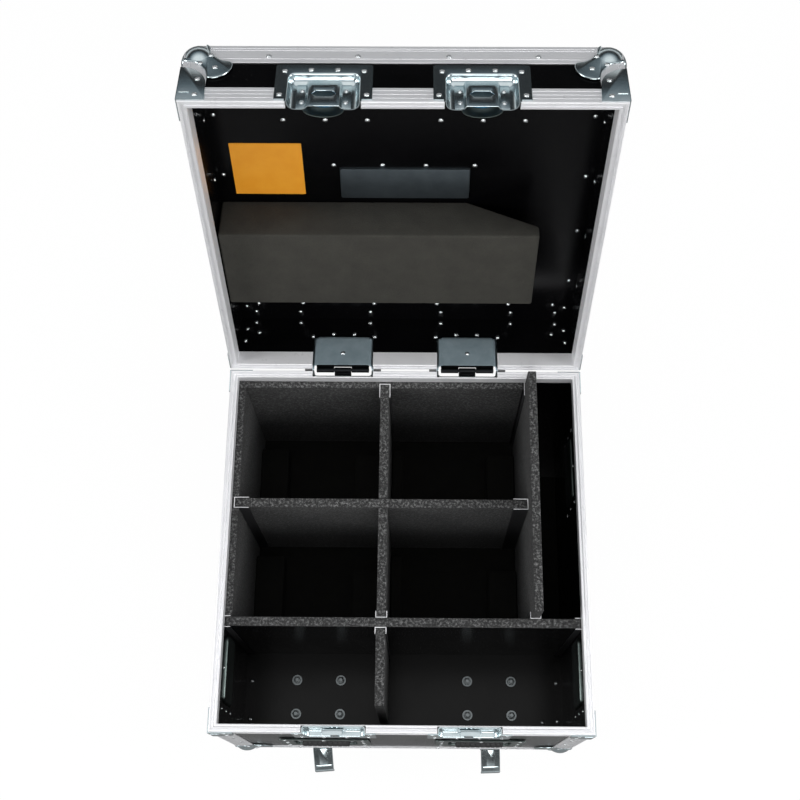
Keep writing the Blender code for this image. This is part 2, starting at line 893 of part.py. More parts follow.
def ball_corner(seat):
    """For the corner at the origin of a case towards -X, -Y and -Z. seat is where its plates begin."""
    lobes = [(-ball_leg * u, -ball_leg * v) for u, v in ball_lobe_shares]
    lobes = [(plate_face if u == 0 else u, plate_face if v == 0 else v) for u, v in lobes]
    plates = prism(lobes, -angle_trim, plate_face, "X")
    for axis in "YZ":
        plates = fused(plates, prism(lobes, -angle_trim, plate_face, axis))
    far = -ball_leg - overrun
    bared = box((-angle_trim, -angle_trim, -angle_trim), (overrun, overrun, overrun))
    ball = shifted(turned(ball_profile(), ball_sides), -ball_inset, -ball_inset, -ball_inset)
    solid = fused(cut(plates, bared), ball)
    for face, trim in ((seat, angle_trim - gap), (gap - skin, board_trim - gap)):
        block = box((far, far, far), (face, face, face))
        corner = box((-trim, -trim, -trim), (overrun, overrun, overrun))
        solid = cut(solid, cut(block, corner))
    return solid


def ball_profile():
    points = [(0, ball_radius)]
    for ring in range(1, ball_rings):
        turn = math.pi * ring / ball_rings
        points.append((ball_radius * math.sin(turn), ball_radius * math.cos(turn)))
    return [*points, (0, -ball_radius)]


def corner_brace():
    """An arched angle plate on the corner whose case lies towards -X and -Y, drawn upwards from the rim."""
    height = brace_high - brace_low
    shape = [(u, brace_low + v * height) for u, v in brace_shares]
    side = [(plate_face if u == 0 else gap - brace_width * u, z) for u, z in shape]
    brace = fused(prism(side, gap, plate_face, "Y"), prism(side, gap, plate_face, "X"))
    rivet_at = (-brace_width / 2, brace_rivet_height)
    shank = rod(rivet_shank_radius, -profile_thickness / 2, plate_face - sheet / 2, "Y", rivet_at, 8)
    brace = fused(brace, shank)
    shank = rod(rivet_shank_radius, -profile_thickness / 2, plate_face - sheet / 2, "X", rivet_at, 8)
    return fused(brace, shank)


def around_corners(solid, height, up):
    """Four copies at the upright edges, upside down where up is -1."""
    upright = solid if up > 0 else mirrored(solid, "Z")
    placed = shifted(upright, half_width, half_depth, height)
    across = mirrored(placed, "X")
    return [placed, across, mirrored(placed, "Y"), mirrored(across, "Y")]


# Label dish and foam in the lid

label_dish_depth = 0.0145
label_flange = 0.012
label_radius = 0.003
foam_face = 0.030
foam_left_clearance = 0.0027
foam_right_margin = 0.0817
foam_cut_back = 0.1104
foam_square_end = 0.022
foam_depth = 0.1640
foam_back_margin = 0.1317
foam_left = foam_left_clearance - panel_in_x
foam_right = panel_in_x - foam_right_margin
foam_right_deep = foam_right - foam_cut_back
foam_back = panel_in_y - foam_back_margin
foam_front = foam_back - foam_depth


def make_label_dish(lid):
    face = lid_height - skin + gap
    half_x, half_y = label_width / 2, label_depth_y / 2
    back = face + sheet - label_dish_depth
    flange = box(
        (-half_x - label_flange, -half_y - label_flange, face),
        (half_x + label_flange, half_y + label_flange, face + sheet),
    )
    outline = rounded_outline((-half_x, -half_y), (half_x, half_y), label_radius, 1)
    tray = prism(outline, back, face + gap)
    low = (sheet - half_x, sheet - half_y)
    outline = rounded_outline(low, (half_x - sheet, half_y - sheet), label_radius - sheet, 1)
    hollow = prism(outline, back + sheet, face + overrun)
    tray = cut(fused(flange, tray), hollow)
    node("label_dish", "zinc", shifted(tray, label_centre_x, label_centre_y), lid)


def make_lid_foam(lid):
    """A block glued in the lid; its right end is cut back under the face."""
    deep = lid_inside - gap
    outline = [(foam_left, foam_face), (foam_right, foam_face), (foam_right, foam_face + foam_square_end)]
    outline += [(foam_right_deep, deep), (foam_left, deep)]
    node("lid_foam", "foam", prism(outline, foam_front, foam_back, "Y"), lid)


# Linings, dividers and floor blocks

left_bay_width = 0.25455
rear_bay_depth = 0.2177
front_bay_depth = 0.1632
right_channel_width = 0.0742
short_divider_offset = 0.0008
short_divider_clearance = 0.0322
centre_divider_x = left_bay_width - panel_in_x
middle_divider_y = panel_in_y - rear_bay_depth
front_divider_y = front_bay_depth - panel_in_y
side_divider_x = panel_in_x - right_channel_width
short_divider_x = centre_divider_x - short_divider_offset
short_divider_front = short_divider_clearance - panel_in_y
channel_deep_leg = 0.0250
channel_short_leg = 0.0110
slide_clearance = 0.0006
channel_recess = 0.0080
lining_end_clearance = 0.0025

lining_back_face = panel_in_y - lining_thickness
lining_left_face = -panel_in_x + lining_thickness
sheet_low = floor_top + gap
sheet_top = sheet_low + floor_sheet_thickness
divider_low = sheet_top + gap
side_divider_left = side_divider_x - side_divider_thickness / 2
front_divider_back = front_divider_y + cross_divider_thickness / 2
front_divider_front = front_divider_y - cross_divider_thickness / 2
channel_back = channel_thickness + slide_clearance
back_channel_web = lining_back_face + channel_recess
left_channel_web = lining_left_face - channel_recess


def channel(across, web, leg, facing):
    """An upright U channel around a board of thickness across. web is its back, facing where it opens."""
    inside = across / 2 + slide_clearance
    outside = inside + channel_thickness
    outline = [(-outside, 0), (outside, 0), (outside, leg), (inside, leg), (inside, channel_thickness)]
    outline += [(-inside, channel_thickness), (-inside, leg), (-outside, leg)]
    turn = {"+Y": 0, "-X": 1, "-Y": 2, "+X": 3}[facing]
    place = Matrix.Translation(web) @ Matrix.Rotation(turn * math.tau / 4, 4, "Z")
    return moved(prism(outline, divider_low, lining_top), place)


def wall_channels():
    """On the side walls for the front cross divider, and on the back wall for the side divider."""
    seat = channel_thickness / 2
    leg = channel_short_leg + seat
    left = channel(cross_divider_thickness, (-panel_in_x - seat, front_divider_y, 0), leg, "+X")
    right = channel(cross_divider_thickness, (panel_in_x + seat, front_divider_y, 0), leg, "-X")
    leg = channel_deep_leg + seat
    back = channel(side_divider_thickness, (side_divider_x, panel_in_y + seat, 0), leg, "-Y")
    return left, right, back


def make_lining(root):
    """Carpeted boards on the back and left walls, with two channels let into them."""
    right = side_divider_left - channel_back - lining_end_clearance
    back = box((gap - panel_in_x, lining_back_face, sheet_low), (right, panel_in_y - gap, lining_top))
    left = box(
        (gap - panel_in_x, front_divider_back + channel_back + gap, sheet_low),
        (lining_left_face, panel_in_y - gap, lining_top),
    )
    lining = fused(back, left)
    half = upright_divider_thickness / 2 + slide_clearance
    slots = [
        box(
            (centre_divider_x - half, lining_back_face - overrun, sheet_low - overrun),
            (centre_divider_x + half, back_channel_web - channel_thickness / 2, overrun),
        )
    ]
    half = cross_divider_thickness / 2 + slide_clearance
    slots.append(
        box(
            (left_channel_web + channel_thickness / 2, middle_divider_y - half, sheet_low - overrun),
            (lining_left_face + overrun, middle_divider_y + half, overrun),
        )
    )
    wall, along, height = handle_places["handle_left_rear"]
    reach = handle_dish_width / 2 + dish_clearance
    rise = handle_dish_height / 2 + dish_clearance
    dish_back = half_width + gap - recess_depth
    slots.append(
        box(
            (-half_width, -along - reach, height - rise),
            (-dish_back + dish_clearance, -along + reach, height + rise),
        )
    )
    lining = cut(lining, gathered(slots))
    web = (centre_divider_x, back_channel_web, 0)
    back = channel(upright_divider_thickness, web, channel_deep_leg, "-Y")
    web = (left_channel_web, middle_divider_y, 0)
    left = channel(cross_divider_thickness, web, channel_deep_leg, "+X")
    node("wall_lining", "carpet", fused(lining, back, left), root)


def make_dividers(root):
    """Carpeted boards that lift straight out. Each board has the channels screwed to its own faces."""
    top = lining_top
    half = cross_divider_thickness / 2
    near = upright_divider_thickness / 2
    seat = channel_thickness / 2
    reach = half_width - profile_width - slide_clearance
    axis = carrier_at("front_divider_axis", (0, front_divider_y, top), root)
    board = box((-reach, front_divider_front, sheet_low), (reach, front_divider_back, top))
    web_y = front_divider_back - seat
    leg = channel_short_leg + seat
    centre = channel(upright_divider_thickness, (centre_divider_x, web_y, 0), leg, "+Y")
    side = channel(side_divider_thickness, (side_divider_x, web_y, 0), leg, "+Y")
    web = (short_divider_x, front_divider_front + seat, 0)
    short = channel(upright_divider_thickness, web, leg, "-Y")
    node("front_cross_divider", "carpet", fused(board, centre, side, short), axis)
    start = front_divider_back + channel_back
    back_end = half_depth - profile_width - slide_clearance
    axis = carrier_at("side_divider_axis", (side_divider_x, 0, side_divider_rise), root)
    board = box(
        (side_divider_left, start, divider_low),
        (side_divider_left + side_divider_thickness, back_end, side_divider_rise),
    )
    web = (side_divider_left + seat, middle_divider_y, 0)
    middle = channel(cross_divider_thickness, web, channel_deep_leg + seat, "-X")
    node("side_divider", "carpet", fused(board, middle), axis)
    lap = (top + divider_low) / 2
    centre_axis = carrier_at("centre_divider_axis", (centre_divider_x, 0, top), root)
    board = box(
        (centre_divider_x - near, start, divider_low),
        (centre_divider_x + near, back_channel_web - channel_back, top),
    )
    wide = half + slide_clearance
    slot = box(
        (centre_divider_x - near - overrun, middle_divider_y - wide, lap - slide_clearance),
        (centre_divider_x + near + overrun, middle_divider_y + wide, top + overrun),
    )
    node("centre_divider", "carpet", cut(board, slot), centre_axis)
    axis = carrier_at("middle_divider_axis", (0, middle_divider_y, top), centre_axis)
    board = box(
        (left_channel_web + channel_back, middle_divider_y - half, divider_low),
        (side_divider_left - channel_back, middle_divider_y + half, top),
    )
    wide = near + slide_clearance
    slot = box(
        (centre_divider_x - wide, middle_divider_y - half - overrun, divider_low - overrun),
        (centre_divider_x + wide, middle_divider_y + half + overrun, lap),
    )
    node("middle_cross_divider", "carpet", cut(board, slot), axis)
    axis = carrier_at("short_divider_axis", (short_divider_x, front_divider_front, top), root)
    board = box(
        (short_divider_x - near, short_divider_front, sheet_low),
        (short_divider_x + near, front_divider_front - channel_back, top),
    )
    node("front_short_divider", "carpet", board, axis)


foam_block_height = 0.055
floor_strip_height = 0.015
block_width = 0.052
narrow_block_width = 0.020
middle_block_margin = 0.0345
middle_block_margin_right = 0.0595
rear_block_margin = 0.0442
rear_block_margin_right = 0.0542
strip_margin = 0.0842
foam_clearance = 0.0015
middle_block_back = middle_divider_y - middle_block_margin
middle_block_back_right = middle_divider_y - middle_block_margin_right
rear_block_back = panel_in_y - rear_block_margin
rear_block_back_right = panel_in_y - rear_block_margin_right
strip_back = panel_in_y - strip_margin


def make_floor_foam(root):
    """A sheet on the floor with upright blocks and a low strip, hollowed under it over the rear bolts."""
    middle_front = front_divider_back + channel_short_leg + foam_clearance
    rear_front = middle_divider_y + cross_divider_thickness / 2 + channel_back + foam_clearance
    left = lining_left_face + gap
    centre_left = centre_divider_x - upright_divider_thickness / 2 - foam_clearance
    centre_right = centre_divider_x + upright_divider_thickness / 2 + foam_clearance
    right = side_divider_left - foam_clearance
    foam = box(
        (left, front_divider_back + 2 * gap, sheet_low),
        (side_divider_left, lining_back_face - gap, sheet_top),
    )
    inside = sheet_low + floor_sheet_thickness / 2
    high = sheet_low + foam_block_height
    for front, wide_back, short_back in (
        (rear_front, rear_block_back, rear_block_back_right),
        (middle_front, middle_block_back, middle_block_back_right),
    ):
        for x0, x1, back in (
            (left, left + block_width, wide_back),
            (centre_left - block_width, centre_left, short_back),
            (centre_right, centre_right + narrow_block_width, wide_back),
            (right - block_width, right, short_back),
        ):
            foam = fused(foam, box((x0, front, inside), (x1, back, high)))
    strip_left = side_divider_left + side_divider_thickness + foam_clearance
    under = box(
        (right, middle_front, sheet_low), (strip_left + foam_clearance, strip_back, sheet_top)
    )
    strip_top = sheet_low + floor_strip_height
    strip = box((strip_left, middle_front, sheet_low), (panel_in_x - gap, strip_back, strip_top))
    pocket_top = sheet_low + washer_thickness + nut_height + foam_clearance
    pockets = [
        rod(washer_radius + foam_clearance, sheet_low - overrun, pocket_top, "Z", place, 8)
        for place in bolt_places()
        if place[1] > 0
    ]
    node("floor_foam", "foam", cut(fused(foam, under, strip), gathered(pockets)), root)


# Casters, drawn around their swivel axis with the top plate's face at z = 0

plate_length_x = 0.105
plate_length_y = 0.085
plate_thickness = 0.003
race_radius = 0.032
race_height = 0.0115
kingpin_radius = 0.006
kingpin_clearance = 0.0004
kingpin_head_radius = 0.010
kingpin_head = 0.0035
fork_sheet = 0.003
fork_clearance = 0.003
fork_tail = 0.028
fork_nose = 0.074
fork_axle_margin = 0.013
axle_radius = 0.005
axle_clearance = 0.0004
axle_head_radius = 0.008
axle_head = 0.004
axle_seat = 0.0005
tyre_bevel = 0.005
hub_radius = 0.014
wheel_sides = 20
pedal_pivot_reach = 0.066
pedal_pivot_drop = 0.0265
pedal_pin_radius = 0.003
pedal_sheet = 0.003
pedal_half_width = 0.0175
pedal_reach = 0.123
pedal_tip_drop = 0.062
pedal_lip = 0.017
bolt_radius = 0.0038
bolt_head_radius = 0.0066
bolt_head = 0.004
bolt_seat = 0.0006
nut_radius = 0.0066
nut_height = 0.005
washer_radius = 0.0095
washer_thickness = 0.0015

axle_drop = caster_height - wheel_diameter / 2
race_low = -plate_thickness - race_height
fork_top = race_low - gap
fork_half = wheel_width / 2 + fork_clearance + fork_sheet


def caster_plate():
    plate = box(
        (-plate_length_x / 2, -plate_length_y / 2, -plate_thickness),
        (plate_length_x / 2, plate_length_y / 2, 0),
    )
    half_x, half_y = caster_bolt_spacing_x / 2, caster_bolt_spacing_y / 2
    bolt = caster_bolt()
    neck_low = fork_top - fork_sheet - gap
    profile = [(0, -plate_thickness / 2), (race_radius, -plate_thickness / 2), (race_radius, race_low)]
    profile += [(kingpin_radius, race_low), (kingpin_radius, neck_low), (kingpin_head_radius, neck_low)]
    profile += [(kingpin_head_radius, neck_low - kingpin_head), (0, neck_low - kingpin_head)]
    plate = fused(plate, turned(profile, 12))
    places = [(sx * half_x, sy * half_y) for sx in (-1, 1) for sy in (-1, 1)]
    return fused(plate, gathered([shifted(bolt, x, y) for x, y in places]))


def caster_fork():
    """A folded fork open at the bottom, with lugs that carry the brake pedal's pin."""
    low = -axle_drop - fork_axle_margin
    outline = [(fork_tail, fork_top), (-fork_nose, fork_top), (-fork_nose, fork_top - fork_tail)]
    outline += [(-caster_trail - fork_axle_margin, low), (-caster_trail + fork_axle_margin, low)]
    outline += [(fork_tail, fork_top - fork_tail / 2)]
    whole = prism(outline, -fork_half, fork_half, "X")
    inner = fork_half - fork_sheet
    hollow = box(
        (-inner, -fork_nose - overrun, low - overrun), (inner, fork_tail + overrun, fork_top - fork_sheet)
    )
    kingpin_hole = rod(kingpin_radius + kingpin_clearance, low, overrun, "Z", (0, 0), 12)
    pin_hole = rod(
        pedal_pin_radius + axle_clearance,
        -wheel_diameter,
        wheel_diameter,
        "X",
        (-pedal_pivot_reach, -pedal_pivot_drop),
        8,
    )
    nose = box(
        (-inner, -fork_nose - overrun, fork_top - fork_sheet - overrun),
        (inner, -fork_nose + fork_axle_margin * 2, fork_top + overrun),
    )
    return fused(cut(whole, hollow, kingpin_hole, pin_hole, nose), caster_axle())


def caster_axle():
    end = fork_half - axle_seat
    profile = [(0, end + axle_head), (axle_head_radius, end + axle_head), (axle_head_radius, end)]
    profile += [(axle_radius, end), (axle_radius, -end), (axle_head_radius, -end)]
    profile += [(axle_head_radius, -end - axle_head), (0, -end - axle_head)]
    lying = Matrix.Rotation(math.tau / 4, 4, "Y")
    place = Matrix.Translation((0, -caster_trail, -axle_drop))
    return moved(turned(profile, 12), place @ lying)


def caster_wheel():
    half = wheel_width / 2
    hub_half = half + fork_clearance / 2
    radius = wheel_diameter / 2
    profile = [(0, hub_half), (hub_radius, hub_half), (hub_radius, half)]
    profile += [(radius - tyre_bevel, half), (radius, half - tyre_bevel), (radius, tyre_bevel - half)]
    profile += [(radius - tyre_bevel, -half), (hub_radius, -half), (hub_radius, -hub_half), (0, -hub_half)]
    bore = rod(axle_radius + axle_clearance, -wheel_width, wheel_width, "Z", (0, 0))
    lying = Matrix.Rotation(math.tau / 4, 4, "Y")
    place = Matrix.Translation((0, -caster_trail, -axle_drop))
    return moved(cut(turned(profile, wheel_sides), bore), place @ lying)


def brake_pedal():
    """A stamped lever on a cross pin in the fork's nose, with a turned-down lip."""
    pin = rod(
        pedal_pin_radius,
        -fork_half - gap,
        fork_half + gap,
        "X",
        (-pedal_pivot_reach, -pedal_pivot_drop),
        8,
    )
    start = (-pedal_pivot_reach, -pedal_pivot_drop)
    end = (-pedal_reach, -pedal_tip_drop)
    thick = pedal_sheet
    outline = [(start[0] + thick, start[1] + thick / 2), (start[0] - thick, start[1] + thick)]
    outline += [(end[0], end[1] + thick), (end[0] - thick, end[1]), (end[0] - thick, end[1] - pedal_lip)]
    outline += [(end[0], end[1] - pedal_lip), (end[0], end[1]), (start[0], start[1] - thick)]
    lever = prism(outline, -pedal_half_width, pedal_half_width, "X")
    return fused(lever, pin)


def caster_bolt():
    """Head under the plate, shank through plate and floor, washer and nut inside the case."""
    top = floor_top - caster_plate_top + gap
    low = bolt_seat - plate_thickness
    profile = [(0, top + washer_thickness + nut_height), (nut_radius, top + washer_thickness + nut_height)]
    profile += [(nut_radius, top + washer_thickness), (washer_radius, top + washer_thickness)]
    profile += [(washer_radius, top), (bolt_radius, top), (bolt_radius, low), (bolt_head_radius, low)]
    profile += [(bolt_head_radius, low - bolt_head), (0, low - bolt_head)]
    return turned(profile, 6)


def make_casters(root):
    plate, fork, wheel, pedal = caster_plate(), caster_fork(), caster_wheel(), brake_pedal()
    for name, (x, y, yaw) in caster_places().items():
        at = Matrix.Translation((x, y, caster_plate_top))
        node(f"caster_plate_{name}", "zinc", moved(plate, at), root)
        swivel = carrier_at(f"caster_{name}_swivel", (x, y, caster_plate_top), root, (0, 0, yaw))
        node(f"caster_fork_{name}", "zinc", moved(fork, at), swivel)
        hub = carrier_at(f"caster_{name}_hub", at @ Vector((0, -caster_trail, -axle_drop)), swivel)
        node(f"caster_wheel_{name}", "rubber", moved(wheel, at), hub)
        if name.startswith("front"):
            pivot = at @ Vector((0, -pedal_pivot_reach, -pedal_pivot_drop))
            foot = carrier_at(f"brake_{name}_axis", pivot, swivel)
            node(f"brake_pedal_{name}", "zinc", moved(pedal, at), foot)


def settle(root):
    """Puts the middle of the footprint at the origin, on the ground."""
    bpy.context.view_layer.update()
    corners = []
    for thing in bpy.context.scene.objects:
        if thing.type == "MESH":
            corners += [thing.matrix_world @ vertex.co for vertex in thing.data.vertices]
    low = [min(corner[axis] for corner in corners) for axis in range(3)]
    high = [max(corner[axis] for corner in corners) for axis in range(3)]
    root.location = (-(low[0] + high[0]) / 2, -(low[1] + high[1]) / 2, -low[2])


def build():
    clear_scene()
    root = carrier_at("flight_case", (0, 0, 0))
    hinge_line = (0, hinge_axis_y, 0)
    lid = carrier_at("lid_hinge_axis", hinge_line, root, (-lid_open_angle, 0, 0))
    make_base_shell(root)
    make_lid_shell(lid)
    make_rims(root, lid)
    make_edges(root, lid)
    make_handles(root)
    make_latches(root, lid)
    make_hinges(root, lid)
    make_label_dish(lid)
    make_lid_foam(lid)
    make_lining(root)
    make_dividers(root)
    make_floor_foam(root)
    make_casters(root)
    settle(root)


build()
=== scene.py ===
"""Looks of the lighting flight case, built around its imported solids.

Metres, +Z up, front towards -Y. The case's pieces are drawn from the middle of the base's rim with the lid
closed, as the solids are, and then put in place: the lid's pieces turn open about the hinge line.
"""

import json
import math

import bmesh
import bpy
from mathutils import Matrix, Vector


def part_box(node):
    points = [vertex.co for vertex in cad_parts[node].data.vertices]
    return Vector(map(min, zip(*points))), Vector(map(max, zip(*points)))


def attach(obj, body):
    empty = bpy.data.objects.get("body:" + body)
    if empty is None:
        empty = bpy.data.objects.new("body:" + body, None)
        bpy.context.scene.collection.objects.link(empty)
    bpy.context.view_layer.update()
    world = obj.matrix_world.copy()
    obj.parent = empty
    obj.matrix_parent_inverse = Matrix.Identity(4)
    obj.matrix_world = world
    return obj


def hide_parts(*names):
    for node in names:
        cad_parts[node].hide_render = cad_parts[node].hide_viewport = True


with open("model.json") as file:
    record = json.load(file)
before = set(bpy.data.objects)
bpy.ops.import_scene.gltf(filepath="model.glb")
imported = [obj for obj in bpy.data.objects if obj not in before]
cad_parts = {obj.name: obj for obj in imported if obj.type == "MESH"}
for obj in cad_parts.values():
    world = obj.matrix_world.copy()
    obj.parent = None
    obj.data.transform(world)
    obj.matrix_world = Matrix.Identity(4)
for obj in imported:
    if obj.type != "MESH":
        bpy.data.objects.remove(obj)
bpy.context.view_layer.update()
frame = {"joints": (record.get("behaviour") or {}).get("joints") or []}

# Boards, profiles and pressed sheet, as in the solids
gap = 0.0003
overrun = 0.010
sheet = 0.0015
board = 0.009
profile = 0.0015
rim_leg = 0.028
rim_inner_leg = 0.0195
edge_leg = 0.035
bead_width = 0.0030
bead_height = 0.0015
angle_trim = 0.016
board_trim = 0.0105
base_height = 0.345
lid_height = 0.114

# Where the case stands and how its lid is turned, from the frame
rim_low, rim_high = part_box("base_rim_profile")
half_width = (rim_high.x - rim_low.x) / 2
half_depth = (rim_high.y - rim_low.y) / 2
rim_middle = (rim_low + rim_high) / 2
joints = {joint["name"]: joint for joint in frame["joints"]}
case_place = Matrix.Translation((rim_middle.x, rim_middle.y, rim_high.z - bead_height))
hinge_line = case_place.inverted() @ Vector(joints["lid_hinge"]["pos_m"])
open_angle = math.radians(-joints["lid_hinge"]["range_deg"][0])
lid_place = case_place @ Matrix.Translation(hinge_line)
lid_place = lid_place @ Matrix.Rotation(-open_angle, 4, "X") @ Matrix.Translation(-hinge_line)

# Worked out from the sizes above
skin = profile + gap
out_x = half_width - skin
out_y = half_depth - skin
in_x = out_x - board
in_y = out_y - board
profile_width = 2 * skin + board
plate_face = gap + sheet
flange_face = half_depth + plate_face
recess_depth = 0.0145
recess_back = half_depth + gap - recess_depth
shallow_back = in_y + gap
floor_low = skin - base_height
floor_top = floor_low + board
lid_inside = lid_height - skin - board
lid_web = 2 * gap + profile + bead_height


# Shapes as bmeshes

sharp_angle = math.radians(40)
lying = Matrix.Rotation(math.tau / 4, 4, "Y")

# How far the edges of pins, rivets and sheet metal are rounded
fine_edge = 0.0003
pin_edge = 0.0004
sheet_edge = 0.0005
pressed_edge = 0.0006
forged_edge = 0.0008
pin_sides = 16


def skinned(rings, ends="capped"):
    """A mesh through outlines with equally many points, and its rows: capped, open or joined up."""
    mesh = bmesh.new()
    rows = [[mesh.verts.new(point) for point in ring] for ring in rings]
    if ends == "capped":
        mesh.faces.new(rows[0][::-1])
        mesh.faces.new(rows[-1])
    for near, far in zip(rows, rows[1:] + rows[:1] if ends == "joined" else rows[1:]):
        for index in range(len(near)):
            after = (index + 1) % len(near)
            mesh.faces.new((near[index], near[after], far[after], far[index]))
    return mesh, rows


def loft(rings, ends="capped"):
    """A closed solid through outlines."""
    solid, _ = skinned(rings, ends)
    bmesh.ops.recalc_face_normals(solid, faces=solid.faces)
    return solid


def box(corner, opposite):
    (x0, x1), (y0, y1), (z0, z1) = (sorted(pair) for pair in zip(corner, opposite))
    outline = ((x0, y0), (x1, y0), (x1, y1), (x0, y1))
    return loft([[(x, y, z) for x, y in outline] for z in (z0, z1)])


def drawn(outline, along, axis):
    """An outline drawn across an axis: YZ for X, XZ for Y, XY for Z."""
    place = {
        "X": lambda u, v: (along, u, v),
        "Y": lambda u, v: (u, along, v),
        "Z": lambda u, v: (u, v, along),
    }[axis]
    return [place(u, v) for u, v in outline]


def prism(outline, low, high, axis="Z"):
    return loft([drawn(outline, low, axis), drawn(outline, high, axis)])


def arc(centre, radius, start, end, steps):
    """Points on an arc between two angles given in degrees, both ends kept."""
    turns = [math.radians(start + (end - start) * step / steps) for step in range(steps + 1)]
    return [(centre[0] + radius * math.cos(t), centre[1] + radius * math.sin(t)) for t in turns]


def circle(radius, sides, centre=(0, 0)):
    return arc(centre, radius, 0, 360, sides)[:-1]


def rod(radius, low, high, axis, centre=(0, 0), sides=24, bevel=0):
    """A round bar, with its end edges rounded off by bevel."""
    if not bevel:
        return prism(circle(radius, sides, centre), low, high, axis)
    slim = circle(radius - bevel, sides, centre)
    full = circle(radius, sides, centre)
    rings = [(slim, low), (full, low + bevel), (full, high - bevel), (slim, high)]
    return loft([drawn(outline, along, axis) for outline, along in rings])


def rounded(low, high, radius, steps=6):
    """A rectangle with round corners, anticlockwise from its right side."""
    (x0, z0), (x1, z1) = low, high
    points = arc((x1 - radius, z1 - radius), radius, 0, 90, steps)
    points += arc((x0 + radius, z1 - radius), radius, 90, 180, steps)
    points += arc((x0 + radius, z0 + radius), radius, 180, 270, steps)
    return points + arc((x1 - radius, z0 + radius), radius, 270, 360, steps)


def centred(half_x, half_y, radius):
    return rounded((-half_x, -half_y), (half_x, half_y), radius)


def flipped(points):
    """(radius, height) points upside down, to carry an outline on from its upper half."""
    return [(radius, -height) for radius, height in points[::-1]]


def turned(points, sides):
    """(radius, height) points turned about Z. The first and the last lie on the axis."""
    solid = bmesh.new()
    rings = []
    for radius, height in points:
        ring = circle(radius, sides) if radius else [(0, 0)]
        rings.append([solid.verts.new((x, y, height)) for x, y in ring])
    for upper, lower in zip(rings, rings[1:]):
        for index in range(sides):
            after = (index + 1) % sides
            corners = [lower[index % len(lower)], lower[after % len(lower)]]
            corners += [upper[after % len(upper)], upper[index % len(upper)]]
            solid.faces.new(list(dict.fromkeys(corners)))
    bmesh.ops.recalc_face_normals(solid, faces=solid.faces)
    return solid


def curved(points, steps=4):
    """A closed outline smoothed through its points."""
    result = []
    count = len(points)
    for index in range(count):
        before, here, after, later = (Vector(points[(index + k) % count]) for k in (-1, 0, 1, 2))
        for step in range(steps):
            t = step / steps
            spread = (2 * before - 5 * here + 4 * after - later) * t * t
            twist = (3 * here - before - 3 * after + later) * t * t * t
            result.append(tuple((2 * here + (after - before) * t + spread + twist) / 2))
    return result


def moved(solid, matrix):
    copy = solid.copy()
    bmesh.ops.transform(copy, matrix=matrix, verts=copy.verts)
    if matrix.determinant() < 0:
        bmesh.ops.reverse_faces(copy, faces=copy.faces)
    return copy


def shifted(solid, x=0, y=0, z=0):
    return moved(solid, Matrix.Translation((x, y, z)))


def mirrored(solid, axis):
    scale = Vector([-1 if axis == name else 1 for name in "XYZ"])
    return moved(solid, Matrix.Diagonal(scale).to_4x4())


def gathered(*solids):
    result = bmesh.new()
    for solid in solids:
        mesh = bpy.data.meshes.new("part")
        solid.to_mesh(mesh)
        result.from_mesh(mesh)
        bpy.data.meshes.remove(mesh)
    return result


def held(solid):
    mesh = bpy.data.meshes.new("work")
    solid.to_mesh(mesh)
    return stood("work", mesh)


def let_go(holder):
    mesh = holder.data
    bpy.data.objects.remove(holder)
    bpy.data.meshes.remove(mesh)


def evaluated(solid, kind, **settings):
    """The solid after one Blender modifier."""
    holder = held(solid)
    modifier = holder.modifiers.new("work", kind)
    for name, value in settings.items():
        setattr(modifier, name, value)
    result = bmesh.new()
    result.from_object(holder, bpy.context.evaluated_depsgraph_get())
    let_go(holder)
    return result


def joined(operation, first, second):
    helper = held(second)
    result = evaluated(first, "BOOLEAN", operation=operation, solver="EXACT", object=helper)
    let_go(helper)
    return result


def cut(solid, *tools):
    for tool in tools:
        solid = joined("DIFFERENCE", solid, tool)
    return solid


def fused(solid, *others):
    for other in others:
        solid = joined("UNION", solid, other)
    return solid


def softened(solid, width, segments=2):
    """The solid with its sharp edges rounded."""
    settings = {"width": width, "segments": segments, "limit_method": "ANGLE"}
    return evaluated(solid, "BEVEL", angle_limit=sharp_angle, **settings)


def stood(name, data):
    """A new object in the scene that holds the data."""
    made = bpy.data.objects.new(name, data)
    bpy.context.scene.collection.objects.link(made)
    return made


def piece(name, body, place, slot, *coats, replaces=(), crease=35):
    """One finished piece. Each coat is the name of a finish and the solid that wears it."""
    mesh = bpy.data.meshes.new(name)
    for index, (finish, solid) in enumerate(coats):
        mesh.materials.append(finishes[finish])
        for face in solid.faces:
            face.material_index = index
    whole = moved(gathered(*[solid for _, solid in coats]), place)
    whole.to_mesh(mesh)
    mesh.shade_smooth()
    mesh.set_sharp_from_angle(angle=math.radians(crease))
    made = stood(name, mesh)
    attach(made, body)
    if replaces:
        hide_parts(*replaces)
    return made


# Materials


class Wire:
    """What leaves a node. Sums and products of a number add Math nodes."""

    def __init__(self, tree, socket):
        self.tree = tree
        self.socket = socket

    def maths(self, operation, other):
        return self.tree.add("ShaderNodeMath", {"operation": operation}, {0: self, 1: other})

    def __add__(self, other):
        return self.maths("ADD", other)

    def __mul__(self, other):
        return self.maths("MULTIPLY", other)


